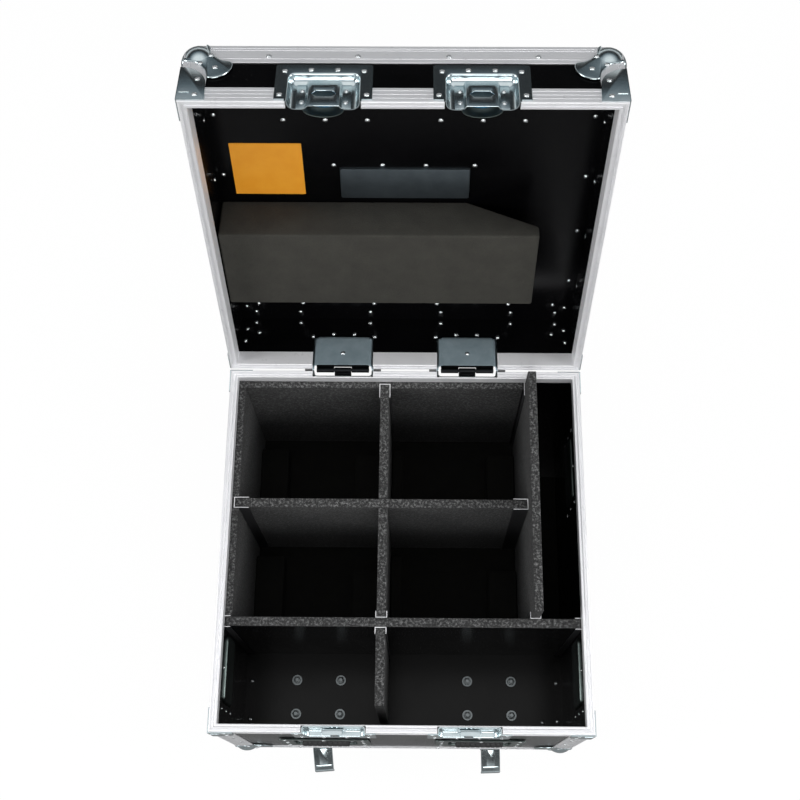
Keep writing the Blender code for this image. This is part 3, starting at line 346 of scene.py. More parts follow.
class Tree:
    """The nodes of a material, of the world or of a modifier."""

    def __init__(self, tree):
        self.nodes = tree.nodes
        self.links = tree.links

    def add(self, kind, settings=None, inputs=None, outlet=0):
        made = self.nodes.new(kind)
        for name, value in (settings or {}).items():
            setattr(made, name, value)
        for socket, value in (inputs or {}).items():
            self.feed(made.inputs[socket], value)
        return Wire(self, made.outputs[outlet])

    def feed(self, socket, value):
        """Links a wire, or sets a value. A colour may be given as an sRGB hex triple."""
        if isinstance(value, Wire):
            self.links.new(value.socket, socket)
        elif socket.type == "RGBA" and isinstance(value, str):
            socket.default_value = paint(value)
        else:
            socket.default_value = value

    def ramp(self, factor, *stops):
        """A colour ramp. A single number as the colour of a stop stands for a grey."""
        made = self.add("ShaderNodeValToRGB", None, {"Fac": factor})
        elements = made.socket.node.color_ramp.elements
        while len(elements) < len(stops):
            elements.new(1)
        for element, (position, colour) in zip(elements, stops):
            element.position = position
            if isinstance(colour, str):
                colour = paint(colour)
            element.color = colour if isinstance(colour, tuple) else (colour, colour, colour, 1)
        return made


class Shader(Tree):
    """A material's nodes, around its Principled BSDF."""

    def __init__(self, name, **fixed):
        self.material = bpy.data.materials.new(name)
        self.material.use_nodes = True
        super().__init__(self.material.node_tree)
        self.surface = self.nodes["Principled BSDF"]
        self.place = self.add("ShaderNodeTexCoord", outlet="Object")
        for socket, value in fixed.items():
            self.feed(self.surface.inputs[socket.replace("_", " ")], value)

    def painted_light_mask(self):
        """How far a face looks up: nothing on a wall, one on top. The mask for light and shade painted by
        which way a face looks.
        """
        normal = self.add("ShaderNodeTexCoord", outlet="Normal")
        height = self.add("ShaderNodeSeparateXYZ", None, {0: normal}, 2)
        return self.ramp(height, (0.35, 0), (0.85, 1))

    def noise(self, size, detail=3, roughness=0.55):
        inputs = {"Vector": self.place, "Scale": 1 / size, "Detail": detail, "Roughness": roughness}
        return self.add("ShaderNodeTexNoise", None, inputs)

    def cells(self, size):
        inputs = {"Vector": self.place, "Scale": 1 / size}
        return self.add("ShaderNodeTexVoronoi", None, inputs, "Distance")

    def mix(self, factor, first, second):
        settings = {"data_type": "RGBA"}
        return self.add("ShaderNodeMix", settings, {0: factor, 6: first, 7: second}, 2)

    def coat(self, colour=None, roughness=None, relief=None, depth=0.0001):
        if colour is not None:
            self.feed(self.surface.inputs["Base Color"], colour)
        if roughness is not None:
            self.feed(self.surface.inputs["Roughness"], roughness)
        if relief is not None:
            bump = self.add("ShaderNodeBump", None, {"Height": relief, "Distance": depth})
            self.feed(self.surface.inputs["Normal"], bump)
        return self.material


def paint(text):
    """A linear colour from an sRGB hex triple."""
    parts = [int(text[k : k + 2], 16) / 255 for k in (0, 2, 4)]
    linear = [c / 12.92 if c <= 0.04045 else ((c + 0.055) / 1.055) ** 2.4 for c in parts]
    return (*linear, 1)


def laminate():
    """Glossy black laminate: a fine pebbled skin, faint smears and a little dust."""
    shader = Shader("black_laminate", Specular_IOR_Level=0.20)
    smear = shader.noise(0.09, 4)
    pebble = shader.noise(0.0011, 2)
    dust = shader.ramp(shader.noise(0.0021, 2), (0.71, 0), (0.78, 1))
    colour = shader.mix(smear, "020203", "060607")
    colour = shader.mix(dust * 0.25, colour, "302e2b")
    return shader.coat(colour, smear * 0.16 + 0.14 + dust * 0.3, pebble, 0.00003)


def extrusion():
    """Anodised aluminium with faint drawing marks and a few scuffs."""
    shader = Shader("anodised_aluminium", Metallic=0.55)
    marks = shader.noise(0.0016, 3)
    cloud = shader.noise(0.05, 3)
    scuff = shader.ramp(shader.noise(0.012, 5, 0.7), (0.60, 0), (0.68, 1))
    colour = shader.mix(cloud, "e2e2e4", "f3f3f5")
    colour = shader.mix(scuff * 0.25, colour, "b9b9bb")
    return shader.coat(colour, marks * 0.10 + 0.42 + scuff * 0.1, marks, 0.00002)


def channel_with_painted_light_and_shade():
    """The dividers' channels: painted light and shade by which way a face looks, dark drawn faces and bright
    upward sawn ends.
    """
    shader = Shader("channel_aluminium", Metallic=0.6)
    marks = shader.noise(0.0016, 3)
    drawn = shader.mix(shader.noise(0.02, 3), "2e2e30", "3c3c3e")
    # Painted light and shade: upward faces near white, all other faces dark.
    colour = shader.mix(shader.painted_light_mask(), drawn, "f0f0f2")
    return shader.coat(colour, marks * 0.10 + 0.45, marks, 0.00002)


def zinc(name, light, deep, roughness, metal=1.0):
    """Plated steel with the slight unevenness of a pressing."""
    shader = Shader(name, Metallic=metal)
    cloud = shader.noise(0.02, 3)
    fine = shader.noise(0.0015, 3)
    colour = shader.mix(cloud, deep, light)
    return shader.coat(colour, fine * 0.10 + roughness, shader.noise(0.007, 2), 0.00006)


def carpet():
    """Needle felt: short tangled fibres over a soft uneven nap, with painted shade that makes its walls
    darker than its upward faces.
    """
    shader = Shader("grey_carpet", Roughness=1.0, Sheen_Weight=0.05, Sheen_Roughness=0.6)
    fibre = shader.noise(0.0014, 4, 0.7)
    tangle = shader.noise(0.0042, 3, 0.6)
    nap = shader.noise(0.03, 3)
    stops = ((0.38, "0c0c0c"), (0.50, "2c2c2c"), (0.62, "787878"))
    tone = shader.ramp(fibre * 0.45 + tangle * 0.55, *stops)
    tone = shader.mix(nap * 0.35, tone, "222222")
    # Painted shade: faces that don't look up fall towards black, to about a third on a wall.
    tone = shader.mix(shader.painted_light_mask() * 0.65 + 0.35, "000000", tone)
    return shader.coat(tone, None, fibre * 0.6 + tangle * 0.8, 0.0009)


def foam(name="charcoal_foam", light="42413c", deep="302f2c"):
    """Charcoal packing foam with fine open cells on its cut faces."""
    shader = Shader(name, Roughness=0.95, Specular_IOR_Level=0.2)
    cell = shader.cells(0.0017)
    wide = shader.noise(0.03, 4)
    tone = shader.mix(wide, deep, light)
    # Painted shade: the open cells' pits are darkened towards 1b1b19.
    tone = shader.mix(shader.ramp(cell, (0.05, 1), (0.45, 0)) * 0.5, tone, "1b1b19")
    return shader.coat(tone, None, cell + shader.noise(0.006, 3) * 0.6, 0.0004)


def rubber(name="black_rubber", tone="1a1a1b", roughness=0.55):
    shader = Shader(name)
    fine = shader.noise(0.0009, 3)
    wear = shader.noise(0.02, 4)
    colour = shader.mix(wear, tone, "2a2a2b")
    return shader.coat(colour, wear * 0.2 + roughness, fine, 0.00008)


def vinyl():
    """The plain orange label, a little mottled."""
    shader = Shader("orange_label")
    cloud = shader.noise(0.03, 3)
    colour = shader.mix(cloud, "ea961f", "f8ac36")
    return shader.coat(colour, cloud * 0.1 + 0.35, shader.noise(0.004, 2), 0.00003)


finishes = {
    "laminate": laminate(),
    "aluminium": extrusion(),
    "zinc": zinc("bright_zinc", "d9e2e4", "b6c6cb", 0.13),
    "channel": channel_with_painted_light_and_shade(),
    "carpet": carpet(),
    "foam": foam(),
    "floor_foam": foam("floor_foam", "1c1c1a", "121211"),
    "rubber": rubber(),
    "tyre": rubber("grey_tyre", "1d1d1e", 0.6),
    "hub": rubber("hub_plastic", "33363a", 0.4),
    "vinyl": vinyl(),
}
for plating in (
    ("blue_zinc", "4fa3d0", "2f7fb0", 0.45, 0.2),
    ("satin_zinc", "aebfc6", "8497a0", 0.30, 0.55),
    ("dark_zinc", "5d666b", "484f54", 0.35, 0.8),
    ("bolt_zinc", "9aa0a2", "767c7e", 0.30),
    ("dull_zinc", "6c7674", "4a5250", 0.30),
    # This dark steel also colours the blocks in the hinges' flange steps, which are painted shade.
    ("dark_steel_and_painted_shade", "26282a", "18191a", 0.40),
    ("rivet_head", "f2f4f5", "dfe4e6", 0.20),
):
    finishes[plating[0]] = zinc(*plating)


# Pressed sheet: dishes that open towards -Y, drawn for the front wall around x = z = 0

dish_radius = 0.0105
flange_radius = 0.0045
press_round = 0.0022
flange_half = 0.0655
flange_margin = 0.017
flange_rim_step = 0.004
press_steps = 4


def pressed_dish(half, low, high, back, flange=flange_half, margin=flange_margin, floor_round=0.003):
    """A tray pressed into its flange. half, low and high are outside sizes, and back its hidden face."""
    flange_low, flange_high = low - margin, high + margin
    face = -flange_face
    deep = -back - sheet

    def tray_ring(offset, y):
        inset = sheet - offset
        corner = max(dish_radius - inset, sheet)
        outline = rounded((inset - half, low + inset), (half - inset, high - inset), corner)
        return drawn(outline, y, "Y")

    turns = [math.tau / 4 * step / press_steps for step in range(press_steps + 1)]
    lip = [(press_round * (1 - math.sin(t)), face + press_round * (1 - math.cos(t))) for t in turns]
    bottom = [(floor_round * (math.cos(t) - 1), deep - floor_round * (1 - math.sin(t))) for t in turns]
    rings = [drawn(rounded((-flange, flange_low), (flange, flange_high), flange_radius), face, "Y")]
    rings += [tray_ring(offset, y) for offset, y in lip + bottom]
    pressing, rows = skinned(rings, "open")
    pressing.faces.new(rows[-1])
    return evaluated(pressing, "SOLIDIFY", thickness=sheet, offset=-1, use_even_offset=True)


def half_dish(dish, half, up):
    """The part of a dish on one side of the rim, its flange stepped back from the rim beside the tray."""
    reach = half_depth + overrun
    rim_gap = 2 * gap if up > 0 else gap
    tools = [box((-reach, -reach, -up * reach), (reach, reach, up * rim_gap))]
    for side in (-1, 1):
        corner = (side * (half + press_round), -reach, -up * reach)
        tools.append(box(corner, (side * reach, reach, up * flange_rim_step)))
    return cut(dish, *tools)


walls = ("front", "right", "back", "left")


def turned_to(wall):
    return Matrix.Rotation(walls.index(wall) * math.tau / 4, 4, "Z")


# Rivets, put on points by a node tree

rivet_radius = 0.0040
rivet_height = 0.0016
rivet_sides = 12
rivet_rings = 4
dome_share = 0.72
brim_height_share = 0.35
brim_top_share = 0.86
rivets = {"base": [], "lid": []}


def add_rivets(body, place, points, facing=(0, -1, 0)):
    """Heads on points in the place's own coordinates, facing the front if nothing else is said."""
    for point in points:
        rivets[body].append((place @ Vector(point), (place.to_3x3() @ Vector(facing)).normalized()))


def rivet_tree():
    """A flanged dome on every point, turned to the point's own facing."""
    group = bpy.data.node_groups.new("rivet_heads", "GeometryNodeTree")
    sockets = group.interface
    sockets.new_socket("Geometry", in_out="INPUT", socket_type="NodeSocketGeometry")
    for name, value in (("Radius", rivet_radius), ("Height", rivet_height)):
        made = sockets.new_socket(name, in_out="INPUT", socket_type="NodeSocketFloat")
        made.default_value = value
    sockets.new_socket("Finish", in_out="INPUT", socket_type="NodeSocketMaterial")
    sockets.new_socket("Geometry", in_out="OUTPUT", socket_type="NodeSocketGeometry")
    tree = Tree(group)
    given = tree.nodes.new("NodeGroupInput").outputs
    radius, height = (Wire(tree, given[name]) for name in ("Radius", "Height"))

    def shape(kind, inputs, across, up):
        """A simple shape, scaled across and upwards."""
        size = tree.add("ShaderNodeCombineXYZ", None, {0: across, 1: across, 2: up})
        mesh = tree.add(kind, None, inputs, "Mesh")
        return tree.add("GeometryNodeTransform", None, {"Geometry": mesh, "Scale": size})

    inputs = {"Segments": rivet_sides, "Rings": rivet_rings, "Radius": 1.0}
    dome = shape("GeometryNodeMeshUVSphere", inputs, radius * dome_share, height)
    inputs = {"Vertices": rivet_sides, "Radius Top": brim_top_share, "Radius Bottom": 1.0, "Depth": 1.0}
    brim = shape("GeometryNodeMeshCone", inputs, radius, height * brim_height_share)
    head = tree.add("GeometryNodeJoinGeometry")
    for part in (dome, brim):
        tree.feed(head.socket.node.inputs[0], part)
    settings = {"data_type": "FLOAT_VECTOR"}
    facing = tree.add("GeometryNodeInputNamedAttribute", settings, {"Name": "facing"}, "Attribute")
    turn = tree.add("FunctionNodeAlignRotationToVector", {"axis": "Z"}, {"Vector": facing})
    inputs = {"Points": Wire(tree, given["Geometry"]), "Instance": head, "Rotation": turn}
    made = tree.add("GeometryNodeInstanceOnPoints", None, inputs)
    for kind in ("GeometryNodeRealizeInstances", "GeometryNodeSetShadeSmooth"):
        made = tree.add(kind, None, {"Geometry": made})
    inputs = {"Geometry": made, "Material": Wire(tree, given["Finish"])}
    made = tree.add("GeometryNodeSetMaterial", None, inputs)
    tree.feed(tree.nodes.new("NodeGroupOutput").inputs["Geometry"], made)
    return group


def make_rivets():
    group = rivet_tree()
    names = {item.name: item.identifier for item in group.interface.items_tree if item.in_out == "INPUT"}
    for body, place in (("base", case_place), ("lid", lid_place)):
        points = bpy.data.meshes.new(body + "_rivets")
        points.from_pydata([place @ point for point, _ in rivets[body]], [], [])
        facing = points.attributes.new("facing", "FLOAT_VECTOR", "POINT")
        turned_facings = [place.to_3x3() @ direction for _, direction in rivets[body]]
        facing.data.foreach_set("vector", [value for facing_to in turned_facings for value in facing_to])
        holder = stood(body + "_rivets", points)
        modifier = holder.modifiers.new("heads", "NODES")
        modifier.node_group = group
        modifier[names["Radius"]] = rivet_radius
        modifier[names["Height"]] = rivet_height
        modifier[names["Finish"]] = finishes["rivet_head"]
        graph = bpy.context.evaluated_depsgraph_get()
        mesh = bpy.data.meshes.new_from_object(holder.evaluated_get(graph))
        holder.modifiers.remove(modifier)
        holder.data = mesh
        bpy.data.meshes.remove(points)
        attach(holder, body)


# Latches

latch_x = 0.106
dish_clearance = 0.0012
latch_half = 0.0493
latch_low = 0.060
latch_high = 0.0555
keeper_half = 0.0370
keeper_top = 0.0510
keeper_rise = 0.0045
keeper_raised_half = 0.0235
keeper_base = 0.0012
slot_half = 0.0165
slot_low = 0.0194
slot_high = 0.0314
tray_round = 0.0105
pocket_half = 0.028
pocket_depth = 0.0140
pocket_height = 0.040
pocket_steps = 24
keeper_rivet_x = 0.0296
keeper_rivet_heights = (0.0126, 0.0355)
latch_sides = {"left": -latch_x, "right": latch_x}
flange_rivets = ((0.0535, 0.0130), (0.0180, 0.0105))
side_rivet = (0.0580, 0.0126)


def flange_points(edge, up):
    """Rivets along a flange's far edge and beside the rim. edge is the flange's outer height."""
    face = -flange_face
    points = []
    for side in (-1, 1):
        points += [(side * x, face, up * (edge - inset)) for x, inset in flange_rivets]
        points.append((side * side_rivet[0], face, up * side_rivet[1]))
    return points


def keeper_plate():
    """The slotted plate: two riveted wings and a raised middle whose lower corners are cut off."""
    back = -recess_back - sheet / 2
    flat = back - sheet
    raised = flat - keeper_rise
    wide, half = keeper_half, keeper_raised_half
    slope = keeper_rise / 2
    outline = [(wide, back), (half, back), (half - slope - sheet, raised + sheet)]
    outline += [(slope + sheet - half, raised + sheet), (-half, back), (-wide, back)]
    outline += [(-wide, flat), (-half - slope / 2, flat), (slope - half, raised)]
    outline += [(half - slope, raised), (half + slope / 2, flat), (wide, flat)]
    plate = prism(outline, keeper_base, keeper_top)
    middle = (slot_low + slot_high) / 2
    tip = (slot_high - slot_low) / 2
    hexagon = [(-slot_half, middle), (tip - slot_half, slot_low), (slot_half - tip, slot_low)]
    hexagon += [(slot_half, middle), (slot_half - tip, slot_high), (tip - slot_half, slot_high)]
    slot = prism(hexagon, raised - overrun, raised + sheet + gap, "Y")
    return softened(cut(plate, slot), sheet_edge)


def keeper_pocket():
    """The half-round pocket pressed out of the dish's back, behind the slot."""
    start = -recess_back - sheet - gap
    half_circle = arc((0, 0), 1, 0, 180, pocket_steps)

    def outline(half, depth):
        bulge = [(half * x, depth * y - recess_back) for x, y in half_circle]
        return [(half, start), *bulge, (-half, start)]

    pocket = prism(outline(pocket_half, pocket_depth), 2 * gap, pocket_height)
    hollow = prism(outline(pocket_half - sheet, pocket_depth - sheet), -overrun, pocket_height - sheet)
    inner = pocket_half - 2 * sheet
    wide = pocket_half + overrun
    liner = prism(outline(inner + sheet - gap, pocket_depth - sheet - gap), sheet, pocket_height - 2 * sheet)
    liner = cut(liner, prism(outline(inner, pocket_depth - 2 * sheet), -overrun, pocket_height))
    liner = cut(liner, box((-wide, start - overrun, -overrun), (wide, wide, slot_low)))
    low = (sheet - pocket_half, start - overrun, -overrun)
    mouth = box(low, (pocket_half - sheet, start + overrun, pocket_height - sheet))
    return pocket, hollow, mouth, liner


def make_keepers():
    dish = pressed_dish(latch_half, -latch_low, latch_high, recess_back, floor_round=tray_round)
    pocket, hollow, mouth, liner = keeper_pocket()
    dish = cut(half_dish(dish, latch_half, 1), mouth)
    pocket = softened(cut(pocket, hollow), pressed_edge)
    plate = keeper_plate()
    face = -recess_back - 1.5 * sheet
    for side, x in latch_sides.items():
        at = Matrix.Translation((x, 0, 0))
        piece(
            "latch_keeper_dish_" + side,
            "lid",
            lid_place @ at,
            "zinc",
            ("zinc", gathered(dish, plate)),
            ("dull_zinc", pocket),
            ("blue_zinc", liner),
            replaces=["latch_keeper_" + side],
        )
        add_rivets("lid", at, flange_points(latch_high + flange_margin, 1))
        wings = [(s * keeper_rivet_x, face, z) for s in (-1, 1) for z in keeper_rivet_heights]
        add_rivets("lid", at, wings)


key_height = -0.035
key_boss_radius = 0.008
key_boss_depth = 0.0075
key_boss_sides = 32
key_wing_half = 0.0185
key_wing_width = 0.015
key_wing_thickness = 0.0025
key_waist = 0.007
hook_pivot_depth = 0.0048
hook_pivot_y = hook_pivot_depth - half_depth
hook_pivot_z = -0.0085
hook_half = 0.0155
hook_thickness = 0.002
hook_face_depth = 0.0025
hook_front = hook_face_depth - half_depth
hook_nose_low = 0.0232
hook_nose_high = 0.0281
hook_nose_reach = 0.0068
hook_barrel_radius = 0.0036
hook_pin_radius = 0.002
hook_release = math.radians(12)
ear_thickness = 0.0025
ear_clearance = 0.0012
ear_height = 0.008


def latch_dish():
    dish = pressed_dish(latch_half, -latch_low, latch_high, shallow_back)
    reach = hook_half + ear_clearance + ear_thickness
    centre = (hook_pivot_y, hook_pivot_z)
    parts = [half_dish(dish, latch_half, -1)]
    parts.append(rod(hook_pin_radius, -reach, reach, "X", centre, pin_sides, fine_edge))
    seat = -shallow_back - sheet / 2
    rise = ear_height / 2
    for side in (-1, 1):
        corner = (side * (reach - ear_thickness), hook_pivot_y - rise, hook_pivot_z - rise)
        ear = box(corner, (side * reach, seat, hook_pivot_z + rise))
        parts.append(softened(ear, pressed_edge))
    return gathered(*parts)


def latch_key():
    """A folding wing with hollowed sides on its round boss."""
    back = -shallow_back - sheet - gap
    face = back - key_boss_depth
    centre = (0, key_height)
    boss = rod(key_boss_radius, face - key_wing_thickness / 2, back, "Y", centre, key_boss_sides, forged_edge)
    half, wide, waist = key_wing_half, key_wing_width / 2, key_waist / 2
    outline = [(-wide, half - waist), (-waist, half), (waist, half), (wide, half - waist)]
    outline += [(waist, 0), (wide, waist - half), (waist, -half), (-waist, -half)]
    outline += [(-wide, waist - half), (-waist, 0)]
    outline = curved([(x, z + key_height) for x, z in outline], 3)
    wing = softened(prism(outline, face - key_wing_thickness, face, "Y"), pressed_edge)
    return gathered(boss, wing)


def latch_hook():
    back = hook_front + hook_thickness
    outline = [(hook_front, hook_pivot_z), (hook_front, hook_nose_high)]
    outline += [(hook_front + hook_nose_reach, hook_nose_high - hook_thickness)]
    outline += [(hook_front + hook_nose_reach, hook_nose_low), (back, hook_nose_low)]
    outline += [(back, hook_pivot_z)]
    arm = softened(prism(outline[::-1], -hook_half, hook_half, "X"), sheet_edge)
    centre = (hook_pivot_y, hook_pivot_z)
    barrel = rod(hook_barrel_radius, -hook_half, hook_half, "X", centre, bevel=pin_edge)
    return gathered(arm, barrel)


def make_base_latches():
    dish, key, hook = latch_dish(), latch_key(), latch_hook()
    pivot = Vector((0, hook_pivot_y, hook_pivot_z))
    leaning = Matrix.Translation(pivot) @ Matrix.Rotation(hook_release, 4, "X")
    leaning = leaning @ Matrix.Translation(-pivot)
    for side, x in latch_sides.items():
        at = Matrix.Translation((x, 0, 0))
        place = case_place @ at
        node = "latch_dish_" + side
        piece(node + "_pressing", "base", place, "zinc", ("zinc", dish), replaces=[node])
        node = "latch_key_" + side
        piece(node + "_wing", node, place, "zinc", ("zinc", key), replaces=[node])
        node = "latch_hook_" + side
        piece(node + "_plate", node, place @ leaning, "zinc", ("zinc", hook), replaces=[node])
        add_rivets("base", at, flange_points(latch_low + flange_margin, -1))


# Hinges

hinge_x = 0.107
hinge_half = 0.05075
hinge_high = 0.065
hinge_low = 0.045
hinge_round = 0.009
knuckle_radius = 0.0045
hinge_pin_radius = 0.0025
knuckle_inner = 0.0150
knuckle_outer = 0.0450
strap_bend = 0.0110
strap_thickness = 0.0020
strap_top = 0.0585
hinge_rivet_height = 0.025
hinge_inner_rivets = ((0.0540, 0.0635), (0.0181, 0.0688))
hinge_axis_y = hinge_line.y
hinge_sides = {"left": -hinge_x, "right": hinge_x}


def knuckle(low, high):
    return rod(knuckle_radius, low, high, "X", (hinge_axis_y, 0), bevel=pin_edge)


def strap(low, high, up, seat, near, top):
    """A stay plate lying on the dish's back and bent out towards the knuckles."""
    outline = [(near, knuckle_radius), (near + strap_thickness, knuckle_radius)]
    outline += [(seat + strap_thickness, strap_bend), (seat + strap_thickness, top)]
    outline += [(seat, top), (seat, strap_bend - strap_thickness / 2)]
    outline = [(y, up * z) for y, z in outline]
    return softened(prism(outline, low, high, "X"), pin_edge)


def make_hinges():
    back = turned_to("back")
    deep = pressed_dish(hinge_half, -hinge_low, hinge_high, recess_back, floor_round=hinge_round)
    flat = pressed_dish(hinge_half, -hinge_low, hinge_high, shallow_back, floor_round=hinge_round / 2)
    upper, lower = half_dish(deep, hinge_half, 1), half_dish(flat, hinge_half, -1)
    near = hinge_axis_y - knuckle_radius
    seat = recess_back + sheet
    wide = hinge_half - 2 * sheet - press_round
    upper_parts = [strap(-wide, wide, 1, seat, near, strap_top)]
    for side in (-1, 1):
        low, high = sorted((side * knuckle_inner, side * knuckle_outer))
        upper_parts.append(knuckle(low, high))
        outer = near + gap + strap_thickness
        upper_parts.append(box((low, near + gap, 0), (high, outer, knuckle_radius + sheet)))
    half = knuckle_inner - 2 * gap
    lower_parts = [knuckle(-half, half)]
    lower_parts.append(strap(-half, half, -1, shallow_back + sheet, near, knuckle_outer - strap_bend))
    reach = knuckle_outer + gap
    lower_parts.append(rod(hinge_pin_radius, -reach, reach, "X", (hinge_axis_y, 0), pin_sides))
    # The dark blocks that fill each flange's step beside the rim are painted shade of the gap between the
    # leaves, in the dark steel finish.
    for parts, up in ((upper_parts, 1), (lower_parts, -1)):
        for side in (-1, 1):
            corner = (side * (hinge_half + press_round), half_depth + gap, up * 2 * gap)
            parts.append(box(corner, (side * flange_half, flange_face, up * flange_rim_step)))
    upper_coats = (("satin_zinc", moved(upper, back)), ("dark_steel_and_painted_shade", gathered(*upper_parts)))
    lower_coats = (("zinc", moved(lower, back)), ("dark_steel_and_painted_shade", gathered(*lower_parts)))
    for side, x in hinge_sides.items():
        at = Matrix.Translation((x, 0, 0))
        node = "hinge_lid_leaf_" + side
        piece(node + "_pressing", "lid", lid_place @ at, "zinc", *upper_coats, replaces=[node])
        node = "hinge_base_leaf_" + side
        piece(node + "_pressing", "base", case_place @ at, "zinc", *lower_coats, replaces=[node])
        add_rivets("lid", at @ back, flange_points(hinge_high + flange_margin, 1))
        add_rivets("base", at @ back, flange_points(hinge_low + flange_margin, -1))
        add_rivets("lid", at, [(0, recess_back, hinge_rivet_height)])
        heads = [(s * dx, in_y - gap, z) for s in (-1, 1) for dx, z in hinge_inner_rivets]
        add_rivets("lid", at, heads)


# Boards

handle_dish_width = 0.108
handle_dish_height = 0.080
handle_flange_width = 0.150
handle_flange_height = 0.110
front_handle_x = 0.130
front_handle_z = -0.188
side_handle_z = -0.105
side_handle_front_y = -0.195
side_handle_rear_y = 0.150
label_centre_x = 0.0007
label_centre_y = -0.0481
label_width = 0.198
label_depth_y = 0.0615

handle_places = {
    "front_left": ("front", -front_handle_x, front_handle_z),
    "front_right": ("front", front_handle_x, front_handle_z),
    "left_front": ("left", -side_handle_front_y, side_handle_z),
    "left_rear": ("left", -side_handle_rear_y, side_handle_z),
    "right_front": ("right", side_handle_front_y, side_handle_z),
    "right_rear": ("right", side_handle_rear_y, side_handle_z),
}


def handle_matrix(place):
    wall, along, height = place
    return turned_to(wall) @ Matrix.Translation((along, 0, height))


def corner_blocks(height, up, trim):
    blocks = []
    for sx in (-1, 1):
        for sy in (-1, 1):
            inner = (sx * (half_width - trim), sy * (half_depth - trim), height - up * trim)
            outer = (sx * (half_width + overrun), sy * (half_depth + overrun), height + up * overrun)
            blocks.append(box(inner, outer))
    return gathered(*blocks)


def wall_cutters(up, depth):
    """Cut-outs above or below the rim for both latches in the front and both hinges in the back wall."""
    latch_far, hinge_far = (latch_high, hinge_high) if up > 0 else (latch_low, hinge_low)
    latches = (-1, latch_half + dish_clearance, latch_far + dish_clearance, latch_sides)
    hinges = (1, hinge_half + dish_clearance, hinge_far + dish_clearance, hinge_sides)
    tools = []
    for wall, half, far, sides in (latches, hinges):
        for x in sides.values():
            corner = (x - half, wall * depth, -up * overrun)
            tools.append(box(corner, (x + half, wall * (half_depth + overrun), up * far)))
    return gathered(*tools)


def make_boards():
    shell = box((-out_x, -out_y, floor_low), (out_x, out_y, -skin))
    inside = box((-in_x, -in_y, floor_top), (in_x, in_y, overrun))
    half_x = handle_dish_width / 2 + dish_clearance
    half_z = handle_dish_height / 2 + dish_clearance
    window = box((-half_x, -half_depth - overrun, -half_z), (half_x, overrun - in_y, half_z))
    windows = gathered(*[moved(window, handle_matrix(place)) for place in handle_places.values()])
    shell = cut(shell, inside, windows, corner_blocks(-base_height, -1, board_trim))
    shell = cut(shell, wall_cutters(-1, in_y - overrun))
    coats = (("laminate", shell), ("channel", gathered(*wall_channels())))
    piece("base_boards", "base", case_place, "laminate", *coats, replaces=["base_shell"])
    shell = box((-out_x, -out_y, lid_web + gap), (out_x, out_y, lid_height - skin))
    inside = box((-in_x, -in_y, -overrun), (in_x, in_y, lid_inside))
    half_x = label_width / 2 + dish_clearance
    half_y = label_depth_y / 2 + dish_clearance
    low = (label_centre_x - half_x, label_centre_y - half_y, lid_inside - overrun)
    window = box(low, (label_centre_x + half_x, label_centre_y + half_y, lid_height + overrun))
    shell = cut(shell, inside, window, corner_blocks(lid_height, 1, board_trim))
    shell = cut(shell, wall_cutters(1, in_y - overrun))
    piece("lid_boards", "lid", lid_place, "laminate", ("laminate", shell), replaces=["lid_shell"])


# Aluminium profiles

groove_width = 0.0018
groove_depth = 0.00060
groove_shares = ((-0.5, 0), (-0.3, 1), (0.3, 1), (0.5, 0))
profile_crease = 30
edge_round = 0.0016
rim_groove_shares = (0.22, 0.5, 0.78)
edge_groove_shares = ((0.2, 0.72, 0.84), (0.16, 0.28, 0.8))
edge_rivet_rows = (0.062, 0.184)
edge_rivet_inset = 0.022
upright_rivet_heights = (-0.125, -0.215)


def grooved(start, end, shares):
    """A straight run of an outline with shallow grooves on its right-hand side's way in."""
    start, end = Vector(start), Vector(end)
    along = (end - start).normalized()
    inward = Vector((along.y, -along.x))
    points = [tuple(start)]
    for share in shares:
        middle = start.lerp(end, share)
        for across, down in groove_shares:
            points.append(tuple(middle + along * groove_width * across + inward * (groove_depth * down)))
    return [*points, tuple(end)]


def frame_around(outline):
    """A mitred frame around the case. An outline point is (distance in from the outer face, height)."""
    rings = []
    for sx, sy in ((-1, -1), (1, -1), (1, 1), (-1, 1)):
        rings.append([(sx * (half_width - inset), sy * (half_depth - inset), z) for inset, z in outline])
    return loft(rings, "joined")


def base_rim_outline():
    inner = profile_width - profile
    middle = profile_width / 2
    half = bead_width / 2
    outline = grooved((0, -rim_leg), (0, -edge_round), rim_groove_shares)
    outline += arc((edge_round, -edge_round), edge_round, 180, 90, 4)[1:]
    outline += [(middle - half - groove_width, 0), (middle - half - groove_depth, -groove_depth)]
    outline += [(middle - half, bead_height / 2), (middle - half / 2, bead_height)]
    outline += [(middle + half / 2, bead_height), (middle + half, bead_height / 2)]
    outline += [(middle + half + groove_depth, -groove_depth), (middle + half + groove_width, 0)]
    outline += arc((profile_width - edge_round, -edge_round), edge_round, 90, 0, 4)
    outline += [(profile_width, -rim_inner_leg), (inner, -rim_inner_leg), (inner, -profile)]
    outline += [(profile, -profile), (profile, -rim_leg)]
    return outline


def lid_rim_outline():
    inner = profile_width - profile
    groove = (profile_width - bead_width) / 2 - 2 * gap
    top = 2 * gap + bead_height
    outline = [(profile, rim_leg), (profile, lid_web), (inner, lid_web), (inner, rim_leg)]
    outline += [(profile_width, rim_leg), (profile_width, gap + edge_round)]
    outline += arc((profile_width - edge_round, gap + edge_round), edge_round, 0, -90, 4)[1:]
    outline += [(profile_width - groove, gap), (profile_width - groove, top), (groove, top), (groove, gap)]
    outline += arc((edge_round, gap + edge_round), edge_round, 270, 180, 4)
    outline += grooved((0, gap + edge_round), (0, rim_leg), rim_groove_shares)[1:]
    return outline


